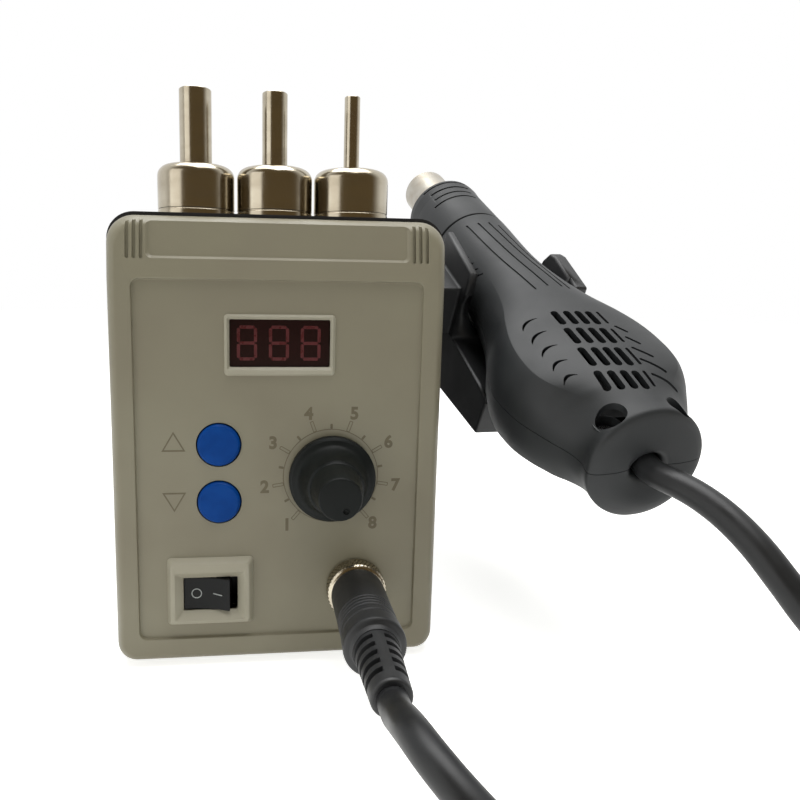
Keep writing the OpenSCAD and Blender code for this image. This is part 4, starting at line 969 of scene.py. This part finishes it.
# Nozzles: spun cap with a beaded foot and a tube crimped into its shoulder
def nozzle(tube_r):
    """Closed wall profile: outside from the foot over the shoulder to the tube's mouth, then back inside.
    The shoulder is a quarter circle about (8.7, 12.6), its radius less by the wall inside."""
    cap_r, shoulder_r, wall, top = 12, 3.3, 0.8, 39
    turn_r, turn_h = cap_r - shoulder_r, 12.6
    arc = np.linspace(0, np.pi / 2, 9)
    cos, sin, inner_r = np.cos(arc), np.sin(arc), shoulder_r - wall
    foot = [[cap_r - wall, 0.05], [11.9, 0.05], [cap_r, 0.2], [cap_r, 1.9], [11.88, 2.05], [11.88, 2.3],
            [cap_r, 2.45], [cap_r, 9.5]]
    shoulder = np.stack([turn_r + shoulder_r * cos, turn_h + shoulder_r * sin], -1)
    crimp = [[tube_r + 1.1, 15.9], [tube_r + 0.95, 16.2], [tube_r + 0.2, 16.3], [tube_r, 16.6]]
    mouth = [[tube_r, top - 0.2], [tube_r - 0.15, top], [tube_r - 0.65, top], [tube_r - wall, top - 0.2]]
    root = [[tube_r - wall, turn_h + inner_r], [turn_r, turn_h + inner_r]]
    inside = np.stack([turn_r + inner_r * sin, turn_h + inner_r * cos], -1)
    return lathe(np.concatenate([foot, shoulder, crimp, mouth, root, inside, foot[:1]]), 128)


# Nozzles: node, body, x of the middle and radius of the tube
NOZZLE_Y = 24.8
NOZZLES = (("nozzle_large", "large_nozzle", -25.9, 5.0), ("nozzle_medium", "medium_nozzle", -1.1, 4.0),
           ("nozzle_small", "small_nozzle", 23.6, 2.5))
for name, body, x, r in NOZZLES:
    made(name + "_spun", placed(nozzle(r), upright(x, NOZZLE_Y, COVER_TOP)), body, "nickel", (name,))

# Handset shells: distance from the tail, half width, half width of the broad face between its edges,
# height of those edges, half thickness, half width between the lower edges
NECK_R, NECK_END = 17.0, 134
# On a round section the edges between its quarters lie at this share of the radius
EDGE = 0.7071
GRIP_ROWS = np.array([
    [0.4, 17.2, 12.2, 12.2, 17.2, 12.2], [3, 17, 12, 12.3, 17.1, 12.2], [6, 17.8, 12, 12.6, 17.2, 13],
    [9, 19.3, 12.3, 13.1, 17.4, 15], [12.3, 21.4, 12.9, 13.8, 17.7, 17.8], [16.5, 23.8, 15.6, 14.3, 18, 20.6],
    [21, 26.2, 19.7, 14.4, 18.3, 23.2], [25, 27.8, 21.9, 14.4, 18.4, 25], [30, 29, 23, 14.3, 18.5, 26.3],
    [36, 29.6, 23.3, 14.2, 18.5, 27], [40.5, 29.2, 23.1, 14.2, 18.5, 26.6],
    [46, 27.9, 22.3, 14.2, 18.5, 25.2], [56, 23.9, 19.6, 14, 18.4, 20.8],
    [66, 20.9, 16.2, 13.5, 18.1, 16.5], [78, 18.6, 13.6, 12.8, 17.7, 13.8],
    [92, NECK_R, EDGE * NECK_R, EDGE * NECK_R, NECK_R, EDGE * NECK_R],
    [NECK_END, NECK_R, EDGE * NECK_R, EDGE * NECK_R, NECK_R, EDGE * NECK_R]])
# Tail face, round: distance from the tail and radius, from inside the cord hole to the rim
TAIL_ROWS = np.array([
    [5, 4.1], [1.2, 4.3], [-0.9, 4.5], [-1.7, 5], [-2.1, 5.8], [-2.3, 7], [-2.5, 9.5], [-2.4, 12.5],
    [-2.1, 14.8], [-1.7, 16.3], [-1.2, 16.95], [-0.7, 17.2], [-0.1, 17.25]])
# The tail face leans: y grows by this share of z, fading out over the first LEAN_END millimetres
TAIL_LEAN, LEAN_END = 0.19, 15
WALL = 2.0
# Half the gap between the two shells
HALF_PARTING = 0.12


def eased(rows, at):
    """Values between rows by cubic Hermite curves with slopes from the neighbouring rows."""
    y, values = rows[:, 0], rows[:, 1:]
    slope = np.gradient(values, y, axis=0)
    k = np.clip(np.searchsorted(y, at, "right") - 1, 0, len(y) - 2)
    gap = (y[k + 1] - y[k])[:, None]
    t = ((at - y[k]) / (y[k + 1] - y[k]))[:, None]
    return ((2 * t ** 3 - 3 * t ** 2 + 1) * values[k] + (t ** 3 - 2 * t ** 2 + t) * gap * slope[k]
            + (3 * t ** 2 - 2 * t ** 3) * values[k + 1] + (t ** 3 - t ** 2) * gap * slope[k + 1])


def grip_rows():
    """Rows from inside the cord hole, over the tail face, then along the body."""
    y, r = TAIL_ROWS.T
    tail = np.stack([y, r, EDGE * r, EDGE * r, r, EDGE * r], -1)
    ys = np.concatenate([np.linspace(0.6, 20, 30), np.linspace(21, 92, 64), np.linspace(93, NECK_END, 36)])
    return np.concatenate([tail, np.c_[ys, eased(GRIP_ROWS, ys)]])


def quarter(w, e, h, top, steps):
    """Two quadratic curves, (w, 0) to the edge (e, h) and on to (0, top), closer spaced near it:
    B(t) = (1 - t)^2 a + 2 t (1 - t) c + t^2 b. Their middle points c make a round section nearly round."""
    even = np.linspace(0, 1, steps)
    t = 0.4 * even + 0.6 * np.sin(even * np.pi / 2)
    zero = np.zeros_like(w)
    bend = 0.586
    low = [(1 - t) ** 2 * a + 2 * t * (1 - t) * c + t ** 2 * b
           for a, c, b in ((w, w, e), (zero, bend * h, h))]
    t = 1 - t[::-1]
    high = [(1 - t) ** 2 * a + 2 * t * (1 - t) * c + t ** 2 * b
            for a, c, b in ((e, bend * e, zero), (h, top, top))]
    return (np.concatenate([low[0], high[0][:, 1:]], 1), np.concatenate([low[1], high[1][:, 1:]], 1))


def grip_half(sign, steps=44):
    """Half of the grip's skin: its section is two quarters, and it leans at the tail."""
    rows = grip_rows()
    y, w, upper, h, top, lower = (rows[:, i:i + 1] for i in range(6))
    x, z = quarter(w, upper if sign > 0 else lower, h, top, steps)
    x = np.concatenate([x, -x[:, -2::-1]], 1)
    z = np.concatenate([z, z[:, -2::-1]], 1)
    lean = TAIL_LEAN * (1 - np.clip(y, 0, LEAN_END) / LEAN_END)
    # No lean at the cord hole, all of it 6 mm further out
    spread = np.clip((w - 4) / 6, 0, 1)
    z = z * sign
    grid = np.stack([x, y + lean * z * spread, z + sign * HALF_PARTING], -1)
    return grid.reshape(-1, 3), grid_faces(len(rows), x.shape[1], around=False)


def groove(x0, y0, x1, y1, r=0.45, steps=40):
    """A rod laid along the upper skin from one x and y to another, its middle just under the surface."""
    t = np.linspace(0, 1, steps)
    x, y = x0 + (x1 - x0) * t, y0 + (y1 - y0) * t
    w, upper, h, top = eased(GRIP_ROWS, y)[:, :4].T[:, :, None]
    across, height = quarter(w, upper, h, top, 60)
    z = [np.interp(abs(a), line[::-1], up[::-1]) for a, line, up in zip(x, across, height)]
    return tube(np.stack([x, y, np.array(z) - 0.1], -1), r, 10)


def crescent(start, end, bulge, r, steps=9):
    """Outline of a slot along a parabola that stands off its chord by bulge, tapering to its ends."""
    start, end = np.array(start), np.array(end)
    t = np.linspace(0, 1, steps)[:, None]
    along = (end - start) / np.linalg.norm(end - start)
    side = np.array([-along[1], along[0]])
    middle = start + t * (end - start) + side * bulge * 4 * t * (1 - t)
    half = r * (0.3 + 0.7 * np.sin(np.pi * t))
    return np.concatenate([middle - side * half, (middle + side * half)[::-1]])


# Grooves as x and y of their nose end, then of their tail end
NECK_GROOVES = [(-7.1, 127.4, -4, 67.9), (-2.8, 126.2, 1, 69.2), (1.5, 125.5, 5.9, 68.4),
                (5.1, 123.4, 8.2, 67.1)]
# Slots over the blower: x, then where they begin and end along the axis
SLOTS = [
    (-5.3, 52.9, 44.5), (-1.5, 51.9, 43.6), (2, 51.1, 42.9), (5.4, 50.5, 42.2),
    (-5.8, 42.8, 33.8), (-2.2, 41.9, 33), (1.4, 41.1, 32.2), (4.8, 40.4, 31.6),
    (-6.7, 32.1, 22.7), (-3, 31.1, 21.8), (0.35, 30.4, 21.1), (3.65, 29.7, 20.5),
    (-7.4, 20.9, 12.8), (-3.9, 19.9, 11.9), (-0.4, 19.2, 11.2), (2.8, 18.5, 10.6)]
SLOT_R = 1.15
THIN_SLOTS = [(8.7, 50.1, 42.5), (7.9, 39.7, 31.9), (6.7, 29.2, 20.7), (5.8, 18.3, 11.7)]
THIN_R, SLIT_R = 0.5, 0.55
# Slits and louvres on the two sides of the slots, as x and y of both ends
SLITS = [(10.3, 40.8, 12.4, 37.9), (10.3, 34.6, 12.7, 31.3), (9, 28.9, 12.9, 24.7), (8.3, 23.2, 13.5, 18.5),
         (8.1, 16.7, 14.7, 13.3)]
LOUVRES = [(-17.6, 47, -11.3, 51.1), (-18, 39.2, -11.7, 43.4), (-18, 32.2, -11.9, 35.6),
           (-17.8, 25.3, -12.4, 28), (-17.1, 19.5, -12.6, 21.2)]
LOUVRE_BULGE = 1.5
# Short grooves between the ribs on the side of the neck that faces the case
NECK_RIBS = [(-15.6, 113 - 5 * i, -12.4, 108.5 - 5 * i) for i in range(4)]
# Recesses over the shell's screws, as x and y; their cutter's profile, and that of the wall in each
RECESSES = [(-10, 5.8), (9.6, 5)]
RECESS = [[0, 5.6], [3.6, 5.6], [3.8, 30], [0, 30]]
WELL = [[0, 5.3], [4.2, 5.3], [4.2, 10.6], [3.7, 10.6], [3.7, 6], [0, 6]]
GRIP_UP = Vector(GRIP[:, 2])


def shell_cuts():
    """Slots, slits, louvres, grooves and screw recesses of the upper shell, as the shapes that cut them."""
    cuts = []
    # The middles of the slots' round ends lie a little more than their radius inside the places in the rows
    for rows, r, inset in ((SLOTS, SLOT_R, 1.2), (THIN_SLOTS, THIN_R, 0.6)):
        cuts += [prism(capsule((x, top - inset), (x, foot + inset), r), 8, 30) for x, top, foot in rows]
    cuts += [prism(capsule(s[:2], s[2:], SLIT_R), 6, 30) for s in SLITS]
    cuts += [prism(crescent(s[:2], s[2:], LOUVRE_BULGE, SLIT_R), 6, 30) for s in LOUVRES]
    cuts += [groove(*s) for s in NECK_GROOVES]
    cuts += [groove(*s, 0.4, 12) for s in NECK_RIBS]
    return cuts + [moved(lathe(RECESS, 40), x, y) for x, y in RECESSES]


def shell(sign, name, node):
    """One half of the grip's skin with its wall, the upper one with its cuts."""
    piece = solid(name, placed(grip_half(sign), in_grip), FINISHES["shell_plastic"])
    work = bmesh.new()
    work.from_mesh(piece.data)
    sample = max(work.faces, key=lambda f: abs(f.normal.dot(GRIP_UP)))
    if sample.normal.dot(GRIP_UP) * sign < 0:
        bmesh.ops.reverse_faces(work, faces=work.faces)
    work.to_mesh(piece.data)
    work.free()
    wall = piece.modifiers.new("wall", "SOLIDIFY")
    wall.thickness = WALL * MM
    wall.offset = -1
    wall.use_even_offset = False
    settled(piece)
    if sign > 0:
        carved(piece, [placed(c, in_grip) for c in shell_cuts()], overlap=True)
    return dressed(piece, "handset", (node,), 0.12, 45)


shell(1, "shell_upper_skin", "shell_upper")
shell(-1, "shell_lower_skin", "shell_lower")


# Slots of the collar: distance from its start, turn about the axis in degrees, height of the floor
COLLAR_SLOTS = [(21.3, -9, 13.8), (26.6, -6, 14.5), (31.9, -5, 14.5), (37.2, -8.5, 13.9)]
COLLAR_LENGTH = 42


def collar():
    """Heat guard: closed wall profile with a step at its root, and four slots across its broad face."""
    profile = rounded([[12.2, 0], [16, 0], [16, 1.4], [17, 1.6], [17.1, 30], [17.5, 36], [17.3, 39.6],
                       [16, 41.4], [14, COLLAR_LENGTH], [11.3, COLLAR_LENGTH], [11.3, 38.6], [14.4, 38.6],
                       [14.4, 3], [12.2, 3]], 0.3, 4)
    guard = lathe(np.concatenate([profile, profile[:1]]), 128)
    piece = solid("nose_guard", placed(guard, along_grip(NECK_END)), FINISHES["shell_plastic"])
    cuts = []
    for at, lean, floor in COLLAR_SLOTS:
        slot = prism(capsule((-12, NECK_END + at), (12, NECK_END + at), 0.6), floor, 20)
        cuts.append((in_grip(slot[0] @ turned(1, lean).T), slot[1]))
    carved(piece, cuts)
    return dressed(piece, "handset", ("nose_collar",), 0.12)


collar()
# Barrel: its seat inside the collar, then its full radius to the rounded mouth
BARREL_WALL = [[10.7, -47], [10.7, 0.6], [11, 0.75], [11, 27.85], [10.85, 28], [10.35, 28], [10.2, 27.85],
               [10.2, -47], [10.7, -47]]
made("barrel_mouth", placed(lathe(BARREL_WALL, 96), along_grip(NECK_END + COLLAR_LENGTH)), "handset",
     "barrel_steel", ("barrel_tube",))
wells = joined([moved(lathe(WELL, 40), x, y) for x, y in RECESSES])
made("screw_wells", placed(wells, in_grip), "handset", "shell_plastic")

refined("cradle", 1.0, longest_only=3.5)
for node, edge in (("case_cover", 0.3), ("rear_panel", 0.15), ("mains_inlet", 0.3), ("fuse_holder", 0.25),
                   ("rubber_feet", 0.4), ("base_tray", 0.15)):
    refined(node, edge)

scene.view_settings.view_transform = "Standard"
bpy.context.view_layer.update()
